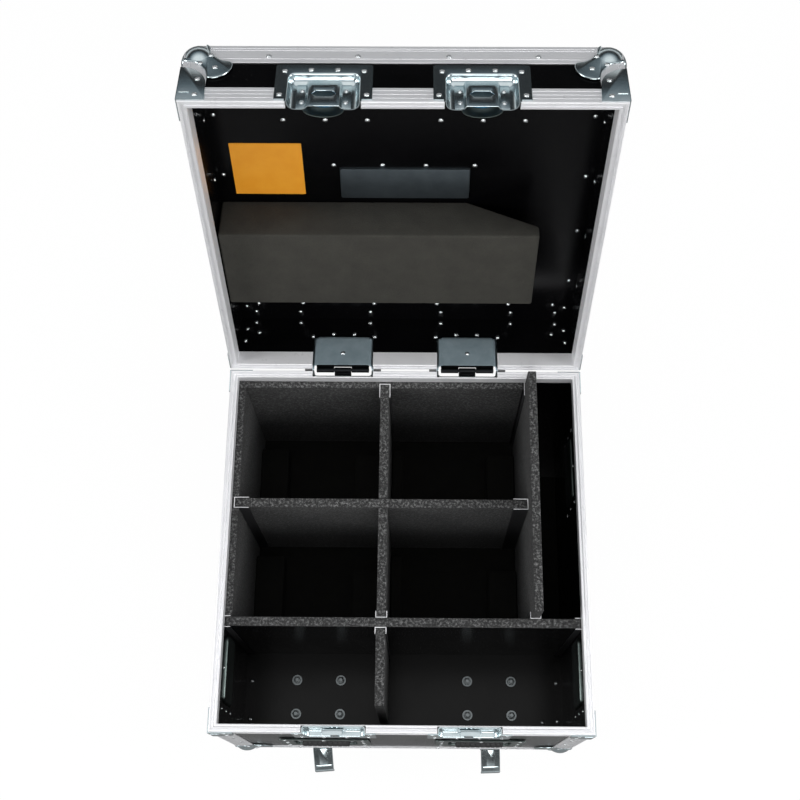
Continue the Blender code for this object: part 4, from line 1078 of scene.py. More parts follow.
def edge_angle_outline():
    """An equal angle with its outer corner at the origin and its legs along +u and +v."""
    leg, r = edge_leg, edge_round
    outline = [(profile, leg), (profile, profile), (leg, profile), (leg, r / 4)]
    outline += grooved((leg - r / 4, 0), (r, 0), edge_groove_shares[0])
    outline += arc((r, r), r, 270, 180, 4)[1:]
    outline += grooved((0, r), (0, leg - r / 4), edge_groove_shares[1])[1:]
    return [*outline, (r / 4, leg)]


def edge_frame(face, up):
    return frame_around([(u, face + up * v) for u, v in edge_angle_outline()])


def corner_angles(low, high):
    outline = [(u - half_width, v - half_depth) for u, v in edge_angle_outline()]
    angle = prism(outline, low, high)
    across = mirrored(angle, "X")
    return [angle, across, mirrored(angle, "Y"), mirrored(across, "Y")]


def profile_piece(name, body, solid, replaced):
    place = lid_place if body == "lid" else case_place
    piece(name, body, place, "aluminium", ("aluminium", solid), replaces=replaced, crease=profile_crease)


def make_profiles():
    rim = cut(frame_around(base_rim_outline()), wall_cutters(-1, in_y))
    profile_piece("base_rim", "base", rim, ["base_rim_profile"])
    rim = cut(frame_around(lid_rim_outline()), wall_cutters(1, in_y - overrun))
    names = ["lid_rim_" + side for side in ("left", "right", "front", "back")]
    profile_piece("lid_rim", "lid", rim, names)
    lower = cut(edge_frame(-base_height, 1), corner_blocks(-base_height, -1, angle_trim))
    uprights = gathered(*corner_angles(angle_trim - base_height, -rim_leg - gap))
    profile_piece("base_edges", "base", gathered(lower, uprights), ["base_edge_trim"])
    upper = cut(edge_frame(lid_height, -1), corner_blocks(lid_height, 1, angle_trim))
    uprights = gathered(*corner_angles(rim_leg + gap, lid_height - angle_trim))
    profile_piece("lid_edges", "lid", gathered(upper, uprights), ["lid_edge_trim"])


def add_edge_rivets():
    inset = edge_rivet_inset
    for body, height, up in (("base", -base_height, 1), ("lid", lid_height, -1)):
        for wall in walls:
            spots = [s * row for s in (-1, 1) for row in edge_rivet_rows]
            side = [(x, -half_depth, height + up * inset) for x in spots]
            add_rivets(body, turned_to(wall), side)
            flat = [(x, inset - half_depth, height) for x in spots]
            add_rivets(body, turned_to(wall), flat, (0, 0, -up))
    for s in (-1, 1):
        for wall in walls:
            edge = [(s * (half_width - inset), -half_depth, z) for z in upright_rivet_heights]
            add_rivets("base", turned_to(wall), edge)


# Ball corners and corner braces

ball_radius = 0.026
ball_inset = 0.019
ball_leg = 0.067
ball_clear = 0.029
ball_plate_edge = 0.0014
ball_steps = 24
ball_sides = 40
brace_width = 0.037
brace_low = 0.003
brace_high = 0.067
ball_lobe_shares = (
    (0.46, 0),
    (0.55, 0.27),
    (0.76, 0.46),
    (1, 0.55),
    (0.98, 0.79),
    (0.79, 0.98),
    (0.55, 1),
    (0.46, 0.76),
    (0.27, 0.55),
    (0, 0.46),
)
brace_shares = ((1, 0), (0.95, 0.58), (0.81, 0.77), (0.54, 0.91), (0.22, 0.98))
ball_rivets = ((0.0370, 0.0224), (0.0240, 0.0390), (0.0450, 0.0474))
brace_rivets = ((0.0240, 0.0429), (0.0230, 0.0126))
brace_bar_height = 0.0150
brace_bar_reach = 0.0150
brace_bar_radius = 0.0012
brace_bar_sides = 12
arch_rounds = 3
arch_shares = (0.25, 0.75)
ball_crease = 50


def ball_corner():
    """For the corner at the origin of a case that lies towards -X, -Y and -Z."""
    smooth = curved([(0, 0), *ball_lobe_shares])
    lobes = [(-u * ball_leg, -v * ball_leg) for u, v in smooth]
    keep = [(min(u, plate_face), min(v, plate_face)) for u, v in lobes]
    dome = box((-ball_clear, -ball_clear, -ball_clear), (overrun, overrun, overrun))
    solids = []
    for axis in "XYZ":
        plate = prism(keep, -plate_face, plate_face, axis)
        solids.append(cut(softened(plate, ball_plate_edge, 3), dome))
    half_circle = arc((0, 0), ball_radius, 90, -90, ball_steps)
    ball = turned([(0, ball_radius), *half_circle[1:-1], (0, -ball_radius)], ball_sides)
    solid = fused(shifted(ball, -ball_inset, -ball_inset, -ball_inset), *solids)
    far = -ball_leg - overrun
    for face, trim in ((gap, angle_trim - gap), (gap - skin, board_trim - gap)):
        block = box((far, far, far), (face, face, face))
        corner = box((-trim, -trim, -trim), (overrun, overrun, overrun))
        solid = cut(solid, cut(block, corner))
    return solid


def corner_brace():
    """An arched angle plate on the corner whose case lies towards -X and -Y, drawn upwards from the rim."""
    height = brace_high - brace_low
    shape = [(u, brace_low + v * height) for u, v in brace_shares]
    top = shape[1:]
    for _ in range(arch_rounds):
        runs = [(Vector(here), Vector(after)) for here, after in zip(top, top[1:])]
        finer = [tuple(here.lerp(after, share)) for here, after in runs for share in arch_shares]
        top = [top[0], *finer, top[-1]]
    side = [(plate_face, brace_low), (-brace_width, brace_low)]
    side += [(gap - brace_width * u, z) for u, z in top]
    side += [(plate_face, brace_high)]
    plates = fused(prism(side, gap, plate_face, "Y"), prism(side, gap, plate_face, "X"))
    centre = (plate_face, brace_low + brace_bar_height - brace_bar_radius)
    ends = (-brace_bar_reach, -brace_bar_radius)
    bars = [rod(brace_bar_radius, *ends, axis, centre, brace_bar_sides, sheet_edge) for axis in "XY"]
    return gathered(softened(plates, sheet_edge), *bars)


def corner_matrices(height, up):
    """Places at the four upright edges, upside down where up is -1."""
    scale = Vector((1, 1, up))
    base = Matrix.Translation((half_width, half_depth, height)) @ Matrix.Diagonal(scale).to_4x4()
    flips = [Vector((sx, sy, 1)) for sx in (1, -1) for sy in (1, -1)]
    return [Matrix.Diagonal(flip).to_4x4() @ base for flip in flips]


def make_corners():
    ball, brace = ball_corner(), corner_brace()
    names = ("back_right", "front_right", "back_left", "front_left")
    balls = {"lid": (lid_height, 1, lid_place), "base": (-base_height, -1, case_place)}
    for body, (height, up, place) in balls.items():
        for name, matrix in zip(names, corner_matrices(height, up)):
            replaced = ["lid_ball_corner_" + name] if body == "lid" else []
            title = f"{body}_ball_{name}"
            piece(title, body, place @ matrix, "zinc", ("zinc", ball), replaces=replaced, crease=ball_crease)
            for u, v in ball_rivets:
                add_rivets(body, matrix, [(-u, plate_face, -v)], (0, 1, 0))
                add_rivets(body, matrix, [(plate_face, -u, -v)], (1, 0, 0))
                add_rivets(body, matrix, [(-u, -v, plate_face)], (0, 0, 1))
    for body, up, place in (("lid", 1, lid_place), ("base", -1, case_place)):
        for name, matrix in zip(names, corner_matrices(0, up)):
            title = f"{body}_brace_{name}"
            piece(title, body, place @ matrix, "zinc", ("zinc", brace))
            for u, z in brace_rivets:
                add_rivets(body, matrix, [(-u, plate_face, z)], (0, 1, 0))
                add_rivets(body, matrix, [(plate_face, -u, z)], (1, 0, 0))


# Handles

handle_pivot_rise = 0.029
handle_pivot_depth = 0.0025
handle_pivot_y = handle_pivot_depth - half_depth
handle_rivet_margin = 0.0105
bail_half = 0.048
bail_leg = 0.006
bail_thickness = 0.004
bail_drop = 0.046
bail_edge = 0.0010
stub_radius = 0.0020
grip_radius = 0.009
grip_half = 0.0405
grip_end_share = 0.7
grip_shoulder = 0.002
grip_sides = 28
grip_rings = 9
ring_half = 0.0012
ring_depth = 0.0008


def bail():
    half, leg = bail_half, bail_leg
    top = handle_pivot_rise + leg / 2
    bottom = handle_pivot_rise - bail_drop - leg / 2
    outline = [(-half, top), (-half, bottom), (half, bottom), (half, top)]
    outline += [(half - leg, top), (half - leg, bottom + leg)]
    outline += [(-half + leg, bottom + leg), (-half + leg, top)]
    near = handle_pivot_y - bail_thickness / 2
    frame_bar = softened(prism(outline, near, near + bail_thickness, "Y"), bail_edge, 3)
    centre = (handle_pivot_y, handle_pivot_rise)
    reach = handle_dish_width / 2 + gap
    return gathered(frame_bar, rod(stub_radius, -reach, reach, "X", centre, pin_sides))


def grip():
    """A moulded grip with finger rings, on the bail's lower bar."""
    end = [(0, grip_half), (grip_radius * grip_end_share, grip_half)]
    end.append((grip_radius, grip_half - grip_shoulder))
    rings = []
    for ring in range(grip_rings):
        middle = grip_half - 2 * grip_half * (ring + 0.5) / (grip_rings + 0.5)
        rings += [(grip_radius, middle + ring_half), (grip_radius - ring_depth, middle)]
        rings += [(grip_radius, middle - ring_half)]
    at = Matrix.Translation((0, handle_pivot_y, handle_pivot_rise - bail_drop))
    return moved(turned([*end, *rings, *flipped(end)], grip_sides), at @ lying)


def make_handles():
    half = handle_dish_height / 2
    margin = (handle_flange_height - handle_dish_height) / 2
    width = handle_dish_width / 2
    dish = pressed_dish(width, -half, half, recess_back, handle_flange_width / 2, margin)
    hanger, sleeve = bail(), grip()
    face = -flange_face
    x, z = handle_flange_width / 2 - handle_rivet_margin, half + margin / 2
    heads = [(s * x, face, t * z) for s in (-1, 1) for t in (-1, 0, 1)]
    heads += [(0, face, t * z) for t in (-1, 1)]
    inner = [(u, -in_y, w) for u, _, w in heads]
    for name, place in handle_places.items():
        at = handle_matrix(place)
        node = "handle_dish_" + name
        coat = ("dull_zinc", dish)
        piece(node + "_pressing", "base", case_place @ at, "zinc", coat, replaces=[node])
        body = "handle_" + name
        coats = (("rubber", sleeve), ("zinc", hanger))
        piece(body + "_bail", body, case_place @ at, "rubber", *coats, replaces=[body])
        add_rivets("base", at, heads)
        add_rivets("base", at, inner, (0, 1, 0))


# Label dish, plain label and foam in the lid

label_dish_depth = 0.0145
label_flange = 0.012
label_radius = 0.003
sticker_low = (-0.2618, -0.1287)
sticker_high = (-0.1536, -0.0225)
sticker_thickness = 0.0004
sticker_radius = 0.0012
label_rivet_places = (-0.108, -0.034, 0.032, 0.106)
label_rivet_inset = 0.001
foam_face = 0.030
foam_left = -0.2865
foam_right = 0.2075
foam_right_deep = 0.0971
foam_square_end = 0.022
foam_front = -0.0065
foam_back = 0.1575
foam_edge = 0.0035


def make_label_dish():
    face = lid_height - skin + gap
    half_x, half_y = label_width / 2, label_depth_y / 2
    back = face + sheet - label_dish_depth
    flange = prism(centred(half_x + label_flange, half_y + label_flange, label_radius), face, face + sheet)
    tray = prism(centred(half_x, half_y, label_radius), back, face + gap)
    inner = centred(half_x - sheet, half_y - sheet, label_radius - sheet)
    dish = fused(softened(flange, sheet_edge), softened(tray, pressed_edge))
    dish = cut(dish, prism(inner, back + sheet, face + overrun))
    at = Matrix.Translation((label_centre_x, label_centre_y, 0))
    coats = ("dark_zinc", dish)
    piece("label_dish_pressing", "lid", lid_place @ at, "zinc", coats, replaces=["label_dish"])
    reach = half_y + label_flange / 2 - label_rivet_inset
    heads = [(x, s * reach, face + sheet) for x in label_rivet_places for s in (-1, 1)]
    add_rivets("lid", at, heads, (0, 0, 1))
    add_rivets("lid", at, [(x, -reach, lid_inside) for x in label_rivet_places], (0, 0, -1))


def make_sticker():
    outline = rounded(sticker_low, sticker_high, sticker_radius, 3)
    label = prism(outline, lid_inside - sticker_thickness - gap / 3, lid_inside - gap / 3)
    piece("plain_label", "lid", lid_place, "rubber", ("vinyl", label))


def make_lid_foam():
    deep = lid_inside - gap
    outline = [(foam_left, foam_face), (foam_right, foam_face), (foam_right, foam_face + foam_square_end)]
    outline += [(foam_right_deep, deep), (foam_left, deep)]
    block = softened(prism(outline, foam_front, foam_back, "Y"), foam_edge, 4)
    made = piece("lid_foam_block", "lid", lid_place, "foam", ("foam", block), replaces=["lid_foam"])


# Carpeted linings and dividers

lining = 0.013
lining_top = -0.021
cross_thickness = 0.015
upright_thickness = 0.0153
side_thickness = 0.014
side_rise = 0.038
channel_sheet = 0.0012
centre_x = -0.03465
middle_y = 0.0715
front_y = -0.1260
side_x = 0.2150
short_x = -0.03545
short_front = -0.2570
channel_deep_leg = 0.0250
channel_short_leg = 0.0110
slide_clearance = 0.0006
channel_recess = 0.0080
lining_end_clearance = 0.0025
floor_sheet = 0.010
felt_edge = 0.0012
lining_edge = 0.0010

lining_back_face = in_y - lining
lining_left_face = lining - in_x
sheet_low = floor_top + gap
sheet_top = sheet_low + floor_sheet
divider_low = sheet_top + gap
side_left = side_x - side_thickness / 2
front_back = front_y + cross_thickness / 2
front_front = front_y - cross_thickness / 2
channel_back = channel_sheet + slide_clearance
back_web = lining_back_face + channel_recess
left_web = lining_left_face - channel_recess


def channel(across, web, leg, facing):
    """An upright U channel with rounded lips. web is its back, and facing says where it opens."""
    inside = across / 2 + slide_clearance
    outside = inside + channel_sheet
    outline = [(-outside, 0), (outside, 0), (outside, leg), (inside, leg), (inside, channel_sheet)]
    outline += [(-inside, channel_sheet), (-inside, leg), (-outside, leg)]
    turn = {"+Y": 0, "-X": 1, "-Y": 2, "+X": 3}[facing]
    place = Matrix.Translation(web) @ Matrix.Rotation(turn * math.tau / 4, 4, "Z")
    return moved(softened(prism(outline, divider_low, lining_top + gap), fine_edge, 1), place)


def wall_channels():
    leg = channel_short_leg
    left = channel(cross_thickness, (-in_x, front_y, 0), leg, "+X")
    right = channel(cross_thickness, (in_x, front_y, 0), leg, "-X")
    back = channel(side_thickness, (side_x, in_y, 0), channel_deep_leg, "-Y")
    return left, right, back


def felted(low, high, *slots):
    """A carpeted board with soft edges, cut where a slot goes through it."""
    return softened(cut(box(low, high), *slots), felt_edge, 3)


def make_lining():
    right = side_left - channel_back - lining_end_clearance
    back = box((gap - in_x, lining_back_face, sheet_low), (right, in_y - gap, lining_top))
    low = (gap - in_x, front_back + channel_back + gap, sheet_low)
    boards = fused(back, box(low, (lining_left_face, in_y - gap, lining_top)))
    half = upright_thickness / 2 + channel_back
    low = (centre_x - half, lining_back_face - overrun, sheet_low - overrun)
    slots = [box(low, (centre_x + half, back_web - gap, overrun))]
    half = cross_thickness / 2 + channel_back
    low = (left_web + gap, middle_y - half, sheet_low - overrun)
    slots.append(box(low, (lining_left_face + overrun, middle_y + half, overrun)))
    _, along, height = handle_places["left_rear"]
    reach = handle_dish_width / 2 + dish_clearance
    rise = handle_dish_height / 2 + dish_clearance
    low = (-half_width, -along - reach, height - rise)
    slots.append(box(low, (-recess_back + dish_clearance, -along + reach, height + rise)))
    boards = softened(cut(boards, gathered(*slots)), lining_edge)
    back = channel(upright_thickness, (centre_x, back_web, 0), channel_deep_leg, "-Y")
    left = channel(cross_thickness, (left_web, middle_y, 0), channel_deep_leg, "+X")
    coats = (("carpet", boards), ("channel", gathered(back, left)))
    piece("carpeted_lining", "base", case_place, "carpet", *coats, replaces=["wall_lining"])


def divider(name, board_solid, channels=(), face=None):
    coats = [("carpet", board_solid)]
    if channels:
        coats.append(("channel", gathered(*channels)))
    if face:
        coats.append(("laminate", face))
    piece(name + "_board", name, case_place, "carpet", *coats, replaces=[name])


def make_dividers():
    half = cross_thickness / 2
    near = upright_thickness / 2
    reach = half_width - profile_width - slide_clearance
    cross = felted((-reach, front_front + gap, sheet_low), (reach, front_back, lining_top))
    centre = channel(upright_thickness, (centre_x, front_back, 0), channel_short_leg, "+Y")
    side = channel(side_thickness, (side_x, front_back, 0), channel_short_leg, "+Y")
    short = channel(upright_thickness, (short_x, front_front, 0), channel_short_leg, "-Y")
    skin_top = lining_top - 2 * channel_sheet
    face = box((gap - reach, front_front, sheet_low + gap), (reach - gap, front_front + 2 * gap, skin_top))
    divider("front_cross_divider", cross, (centre, side, short), face)
    start = front_back + channel_back
    back_end = half_depth - profile_width - slide_clearance
    upright = felted((side_left, start, divider_low), (side_left + side_thickness, back_end, side_rise))
    middle = channel(cross_thickness, (side_left, middle_y, 0), channel_deep_leg, "-X")
    divider("side_divider", upright, (middle,))
    lap = (lining_top + divider_low) / 2
    wide = half + slide_clearance
    low = (centre_x - near - overrun, middle_y - wide, lap - slide_clearance)
    slot = box(low, (centre_x + near + overrun, middle_y + wide, lining_top + overrun))
    low = (centre_x - near, start, divider_low)
    high = (centre_x + near, back_web - channel_back, lining_top)
    divider("centre_divider", felted(low, high, slot))
    wide = near + slide_clearance
    low = (centre_x - wide, middle_y - half - overrun, divider_low - overrun)
    slot = box(low, (centre_x + wide, middle_y + half + overrun, lap))
    low = (left_web + channel_back, middle_y - half, divider_low)
    high = (side_left - channel_back, middle_y + half, lining_top)
    divider("middle_cross_divider", felted(low, high, slot))
    low = (short_x - near, short_front, sheet_low)
    high = (short_x + near, front_front - channel_back, lining_top)
    divider("front_short_divider", felted(low, high))


foam_height = 0.055
strip_height = 0.015
block_width = 0.052
narrow_block = 0.020
middle_back = 0.037
middle_back_right = 0.012
rear_back = 0.245
rear_back_right = 0.235
strip_back = 0.205
foam_clearance = 0.0015
block_edge = 0.0025
strip_edge = 0.002


def make_floor_foam():
    middle_front = front_back + channel_short_leg + foam_clearance
    rear_front = middle_y + cross_thickness / 2 + channel_back + foam_clearance
    left = lining_left_face + gap
    centre_left = centre_x - upright_thickness / 2 - foam_clearance
    centre_right = centre_x + upright_thickness / 2 + foam_clearance
    right = side_left - foam_clearance
    low = (left, front_back + 2 * gap, sheet_low)
    parts = [box(low, (side_left, lining_back_face - gap, sheet_top))]
    for front, wide_back, short_back in (
        (rear_front, rear_back, rear_back_right),
        (middle_front, middle_back, middle_back_right),
    ):
        for x0, x1, back in (
            (left, left + block_width, wide_back),
            (centre_left - block_width, centre_left, short_back),
            (centre_right, centre_right + narrow_block, wide_back),
            (right - block_width, right, short_back),
        ):
            block = box((x0, front, sheet_top - gap), (x1, back, sheet_low + foam_height))
            parts.append(softened(block, block_edge, 3))
    strip_left = side_left + side_thickness + foam_clearance
    parts.append(box((right, middle_front, sheet_low), (strip_left + foam_clearance, strip_back, sheet_top)))
    strip = box((strip_left, middle_front, sheet_low), (in_x - gap, strip_back, sheet_low + strip_height))
    parts.append(softened(strip, strip_edge, 3))
    coats = ("floor_foam", gathered(*parts))
    made = piece("floor_foam_blocks", "base", case_place, "foam", coats, replaces=["floor_foam"])


# Casters, drawn around the swivel axis with the top plate's face at z = 0

plate_x = 0.105
plate_y = 0.085
bolt_x = 0.040
bolt_y = 0.030
plate_thickness = 0.003
race_radius = 0.032
race_height = 0.0115
kingpin_radius = 0.006
kingpin_head_radius = 0.010
kingpin_head = 0.0035
fork_sheet = 0.003
fork_tail = 0.028
fork_nose = 0.074
fork_axle_margin = 0.013
wheel_width = 0.036
fork_clearance = 0.003
caster_trail = 0.038
axle_radius = 0.005
axle_head_radius = 0.008
axle_head = 0.004
axle_seat = 0.0005
bolt_radius = 0.0038
bolt_head_radius = 0.0066
bolt_head = 0.004
nut_height = 0.005
washer_radius = 0.0095
washer = 0.0015
pedal_pin_reach = 0.066
pedal_pin_drop = 0.0265
pedal_pin_radius = 0.003
pedal_sheet = 0.003
pedal_half = 0.0175
pedal_reach = 0.123
pedal_tip_drop = 0.062
pedal_lip = 0.017
pedal_edge = 0.0012
plate_corner = 0.008
plate_edge = 0.0007
race_slope = 0.004
race_shoulder = 0.003
caster_chamfer = 0.001
bolt_end = 0.0015
washer_sides = 28
turned_sides = 40
axle_sides = 24
hub_sides = 48
tyre_sides = 64

# Outlines of the wheel and of the brake pedal's raised panel and ridge
hub_share = 0.72
tyre_crown = 0.0035
tyre_shoulder = 2.5 * tyre_crown
tyre_edge = 0.002
tyre_wall = 0.006
hub_radii = (0.012, 0.014, 0.015)
hub_slope = 0.002
hub_recess = 0.007
panel_half = 0.0085
panel_start = 0.016
panel_end = 0.010
panel_corner = 0.003
panel_seat = 0.0006
panel_rise = 0.0012
ridge_half = 0.0145
ridge_start = 0.0095
ridge_end = 0.0055
ridge_corner = 0.0015
ridge_rise = 0.0010
panel_seat_share = 0.93

caster_top = floor_low - gap
fork_top = -plate_thickness - race_height - gap
fork_half = wheel_width / 2 + fork_clearance + fork_sheet
hub_height = joints["wheel_spin_front_left"]["pos_m"][2]
axle_drop = case_place.translation.z + caster_top - hub_height
wheel_radius = hub_height
caster_names = ("front_left", "front_right", "rear_left", "rear_right")
axle_place = Matrix.Translation((0, -caster_trail, -axle_drop)) @ lying


def bolt():
    """Head under the plate, washer, nut and shank end inside the case."""
    top = floor_top - caster_top + gap
    low = -plate_thickness - gap
    nut_low, nut_high = top + washer, top + washer + nut_height
    hexagon = circle(bolt_head_radius, 6)
    washer_disc = rod(washer_radius, top, nut_low, "Z", sides=washer_sides, bevel=pin_edge)
    nut = softened(prism(hexagon, nut_low, nut_high), pressed_edge)
    end = rod(bolt_radius, top, nut_high + bolt_end, "Z", sides=pin_sides, bevel=pressed_edge)
    head = softened(prism(hexagon, low - bolt_head, low + gap), pressed_edge)
    return gathered(washer_disc, nut, end, head)


def caster_top_plate():
    outline = centred(plate_x / 2, plate_y / 2, plate_corner)
    plate = softened(prism(outline, -plate_thickness, 0), plate_edge)
    low = -plate_thickness - race_height
    neck = fork_top - fork_sheet - gap
    tip = neck - kingpin_head
    race = [(0, -plate_thickness / 2), (race_radius - race_slope, -plate_thickness / 2)]
    race += [(race_radius, -plate_thickness - race_shoulder), (race_radius, low + race_slope)]
    race += [(race_radius - race_slope, low), (kingpin_radius, low), (kingpin_radius, neck)]
    race += [(kingpin_head_radius, neck), (kingpin_head_radius, tip + caster_chamfer)]
    race += [(kingpin_head_radius - caster_chamfer, tip), (0, tip)]
    bolts = [shifted(bolt(), sx * bolt_x, sy * bolt_y) for sx in (-1, 1) for sy in (-1, 1)]
    return gathered(plate, turned(race, turned_sides)), gathered(*bolts)


def caster_fork():
    low = -axle_drop - fork_axle_margin
    outline = [(fork_tail, fork_top), (-fork_nose, fork_top), (-fork_nose, fork_top - fork_tail)]
    outline += arc((-caster_trail, -axle_drop), fork_axle_margin, 200, 340, 10)
    outline += [(fork_tail, fork_top - fork_tail / 2)]
    whole = prism(outline, -fork_half, fork_half, "X")
    inner = fork_half - fork_sheet
    front, web = -fork_nose - overrun, fork_top - fork_sheet
    hollow = box((-inner, front, low - overrun), (inner, fork_tail + overrun, web))
    hole = rod(kingpin_radius + gap, low, overrun, "Z")
    nose = box((-inner, front, web - overrun), (inner, fork_axle_margin * 2 - fork_nose, fork_top + overrun))
    body = softened(cut(whole, hollow, hole, nose), forged_edge)
    end = fork_half - axle_seat
    tip = end + axle_head
    points = [(0, tip), (axle_head_radius - caster_chamfer, tip), (axle_head_radius, tip - caster_chamfer)]
    points += [(axle_head_radius, end), (axle_radius, end)]
    axle = turned(points + flipped(points), axle_sides)
    return gathered(body, moved(axle, axle_place))


def caster_wheel():
    half = wheel_width / 2
    hub_half = half + fork_clearance / 2
    inner = wheel_radius * hub_share
    tyre = [(inner, half - tyre_edge), (inner + tyre_edge, half), (wheel_radius - tyre_wall, half)]
    tyre += [(wheel_radius - tyre_edge, half - tyre_crown), (wheel_radius, half - tyre_shoulder)]
    tyre += flipped(tyre)
    band = loft([[(r * x, r * y, z) for r, z in tyre] for x, y in circle(1, tyre_sides)], "joined")
    cap, slope, boss = hub_radii
    edge, face = half - caster_chamfer, half - hub_recess
    disc = [(0, hub_half), (cap, hub_half), (slope, hub_half - caster_chamfer), (boss, face)]
    disc += [(inner - tyre_wall, face), (inner - tyre_wall + hub_slope, edge), (inner, edge)]
    hub = turned(disc + flipped(disc), hub_sides)
    return moved(band, axle_place), moved(hub, axle_place)


def brake_pedal():
    """A stamped lever with a raised panel and a turned-down lip, on a cross pin."""
    start = (-pedal_pin_reach, -pedal_pin_drop)
    end = (-pedal_reach, -pedal_tip_drop)
    thick = pedal_sheet
    pin = rod(pedal_pin_radius, -fork_half - gap, fork_half + gap, "X", start, pin_sides, sheet_edge)
    outline = [(start[0] + thick, start[1] + thick / 2), (start[0] - thick, start[1] + thick)]
    outline += [(end[0], end[1] + thick), (end[0] - thick, end[1]), (end[0] - thick, end[1] - pedal_lip)]
    outline += [(end[0], end[1] - pedal_lip), (end[0], end[1]), (start[0], start[1] - thick)]
    lever = softened(prism(outline, -pedal_half, pedal_half, "X"), pedal_edge, 3)
    slope = Vector((0, end[0] - start[0], end[1] - start[1]))
    angle = math.atan2(slope.z, slope.y)
    far = slope.length
    raised = rounded((-panel_half, panel_start), (panel_half, far - panel_end), panel_corner, 4)
    panel = softened(prism(raised, -panel_seat, panel_rise), sheet_edge)
    ridge = rounded((-ridge_half, far - ridge_start), (ridge_half, far - ridge_end), ridge_corner, 4)
    panel = gathered(panel, softened(prism(ridge, -panel_seat, ridge_rise), pin_edge))
    tilt = Matrix.Rotation(angle - math.tau / 2, 4, "X") @ Matrix.Rotation(math.tau / 2, 4, "Z")
    lift = Matrix.Translation((0, start[0], start[1] + thick * panel_seat_share))
    return gathered(lever, pin, moved(panel, lift @ tilt))


def make_casters():
    (plate, bolts), fork, (tyre, hub) = caster_top_plate(), caster_fork(), caster_wheel()
    pedal = brake_pedal()
    for name in caster_names:
        swivel = Vector(joints["caster_swivel_" + name]["pos_m"])
        forward = joints["wheel_spin_" + name]["axis"]
        at = Matrix.Translation(swivel)
        facing = at @ Matrix.Rotation(math.atan2(forward[1], forward[0]), 4, "Z")
        node = "caster_plate_" + name
        coats = (("zinc", plate), ("bolt_zinc", bolts))
        piece(node + "_top", "base", at, "zinc", *coats, replaces=[node])
        node = "caster_fork_" + name
        piece(node + "_pressing", node, facing, "zinc", ("zinc", fork), replaces=[node])
        node = "caster_wheel_" + name
        coats = (("tyre", tyre), ("hub", hub))
        piece(node + "_tyre", node, facing, "rubber", *coats, replaces=[node])
        if name.startswith("front"):
            node = "brake_pedal_" + name
            piece(node + "_stamping", node, facing, "zinc", ("zinc", pedal), replaces=[node])


# Rivets inside the lid and on the floor

side_rivet_rows = (-0.183, -0.0625, 0.0595, 0.183)
side_rivet_height = 0.0925
panel_rows = (
    [(s * 0.1150 + x, -0.1740) for s in (-1, 1) for x in (-0.0615, 0, 0.0615)]
    + [(s * 0.2775, y) for s in (-1, 1) for y in side_rivet_rows]
    + [(s * x, 0.2712) for s in (-1, 1) for x in (0.0615, 0.184)]
    + [(s * x, 0.2476) for s in (-1, 1) for x in (0.0542, 0.1784)]
    + [(s * x, y) for s in (-1, 1) for x, y in ((0.2768, 0.2562), (0.2552, 0.2486), (0.2616, 0.2708))]
)
back_wall_rows = [(s * x, 0.0945) for s in (-1, 1) for x in (0.0618, 0.1847, 0.2628)]
back_wall_corner = ((0.2776, 0.0799), (0.2558, 0.0718), (0.2782, 0.0536))
back_wall_rows += [(s * x, z) for s in (-1, 1) for x, z in back_wall_corner]
floor_rows = [(s * 0.280, y) for s in (-1, 1) for y in (-0.252, -0.184)] + [(0.253, -0.254)]


def add_inner_rivets():
    still = Matrix.Identity(4)
    add_rivets("lid", still, [(x, y, lid_inside) for x, y in panel_rows], (0, 0, -1))
    add_rivets("lid", still, [(x, in_y, z) for x, z in back_wall_rows])
    for s in (-1, 1):
        side = [(s * in_x, y, side_rivet_height) for y in side_rivet_rows]
        add_rivets("lid", still, side, (-s, 0, 0))
    add_rivets("base", still, [(x, y, floor_top) for x, y in floor_rows], (0, 0, 1))


# Camera, stage and light

camera_place = Vector((0.0218, -0.4471, 1.9467))
camera_pitch = math.radians(69.125)
camera_yaw = math.radians(-1.448)
camera_roll = math.radians(-1.015)
camera_focal = 1210.62
image_size = 800
sensor_width = 36
camera_shift = (-0.0084, -0.0327)
floor_size = 40
floor_grey = 0.22
floor_white = 0.9
floor_glow_share = 0.97


def make_camera():
    pitch, yaw, roll = camera_pitch, camera_yaw, camera_roll
    forward = Vector((math.sin(yaw) * math.cos(pitch), math.cos(yaw) * math.cos(pitch), -math.sin(pitch)))
    right = Vector((math.cos(yaw), -math.sin(yaw), 0))
    up = right.cross(forward)
    turned_right = right * math.cos(roll) + up * math.sin(roll)
    turned_up = up * math.cos(roll) - right * math.sin(roll)
    turn = Matrix((turned_right, turned_up, -forward)).transposed()
    lens = bpy.data.cameras.new("camera")
    lens.sensor_width = sensor_width
    lens.lens = camera_focal * sensor_width / image_size
    lens.shift_x, lens.shift_y = camera_shift
    made = stood("camera", lens)
    made.matrix_world = Matrix.Translation(case_place @ camera_place) @ turn.to_4x4()
    bpy.context.scene.camera = made


def soft_lamp(name, place, target, size, power):
    data = bpy.data.lights.new(name, "AREA")
    data.shape = "RECTANGLE"
    data.size, data.size_y = size
    data.energy = power
    made = stood(name, data)
    made.location = place
    made.rotation_euler = (Vector(target) - Vector(place)).to_track_quat("-Z", "Y").to_euler()


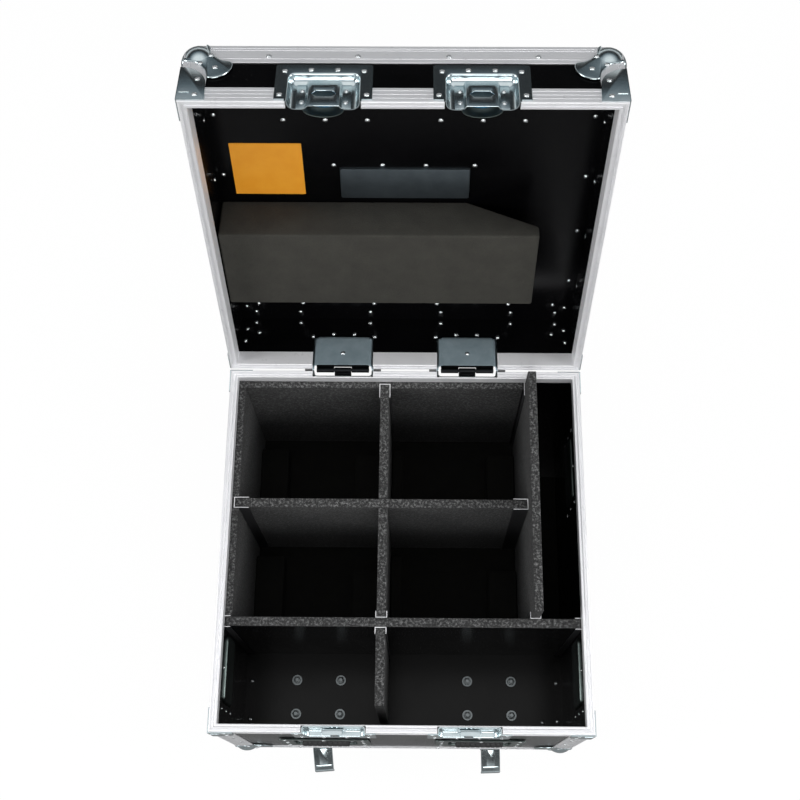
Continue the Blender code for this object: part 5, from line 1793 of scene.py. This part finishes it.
def make_floor():
    shader = Shader("white_floor", Roughness=0.9)
    rays = shader.add("ShaderNodeLightPath", outlet="Is Camera Ray")
    shader.coat(shader.ramp(rays, (0, floor_grey), (1, floor_white)))
    glow = shader.add("ShaderNodeEmission")
    surface = Wire(shader, shader.surface.outputs[0])
    mixed = shader.add("ShaderNodeMixShader", None, {0: rays * floor_glow_share, 1: surface, 2: glow})
    shader.feed(shader.nodes["Material Output"].inputs["Surface"], mixed)
    mesh = bpy.data.meshes.new("floor")
    half = floor_size / 2
    corners = [(-half, -half, 0), (half, -half, 0), (half, half, 0), (-half, half, 0)]
    mesh.from_pydata(corners, [], [(0, 1, 2, 3)])
    mesh.materials.append(shader.material)
    made = stood("floor", mesh)


world_stops = (
    (0.00, 0.90),
    (0.10, 0.70),
    (0.25, (0.090, 0.090, 0.092, 1)),
    (0.38, (0.020, 0.021, 0.022, 1)),
    (0.48, (0.020, 0.021, 0.022, 1)),
    (0.62, (0.13, 0.16, 0.18, 1)),
    (0.80, (0.60, 0.62, 0.64, 1)),
    (0.92, 1.0),
)


def make_world():
    """A studio: pale low down, dark at mid height, and a wide soft light overhead."""
    world = bpy.data.worlds.new("studio")
    bpy.context.scene.world = world
    world.use_nodes = True
    tree = Tree(world.node_tree)
    place = tree.add("ShaderNodeTexCoord", outlet="Generated")
    height = tree.add("ShaderNodeSeparateXYZ", None, {0: place}, "Z")
    studio = tree.add("ShaderNodeBackground", None, {"Color": tree.ramp(height, *world_stops)})
    white = tree.add("ShaderNodeBackground", None, {"Color": (1, 1, 1, 1)})
    rays = tree.add("ShaderNodeLightPath", outlet="Is Camera Ray")
    mixed = tree.add("ShaderNodeMixShader", None, {0: rays, 1: studio, 2: white})
    tree.feed(tree.nodes["World Output"].inputs["Surface"], mixed)


# Name, place, target, size and power
lamps = (
    ("front_lamp", (0.3, -2.9, 2.6), (0, 0.1, 0.4), (2.4, 1.2), 50),
    ("left_lamp", (-2.8, -0.6, 2.0), (0, 0, 0.4), (1.2, 1.8), 60),
    ("right_lamp", (2.8, -0.4, 2.0), (0, 0, 0.4), (1.2, 1.8), 60),
)


make_camera()
make_world()
for lamp in lamps:
    soft_lamp(*lamp)
make_floor()
make_boards()
make_profiles()
add_edge_rivets()
make_corners()
make_keepers()
make_base_latches()
make_hinges()
make_handles()
make_label_dish()
make_sticker()
make_lid_foam()
make_lining()
make_dividers()
make_floor_foam()
make_casters()
add_inner_rivets()
make_rivets()

bpy.context.scene.view_settings.view_transform = "Standard"
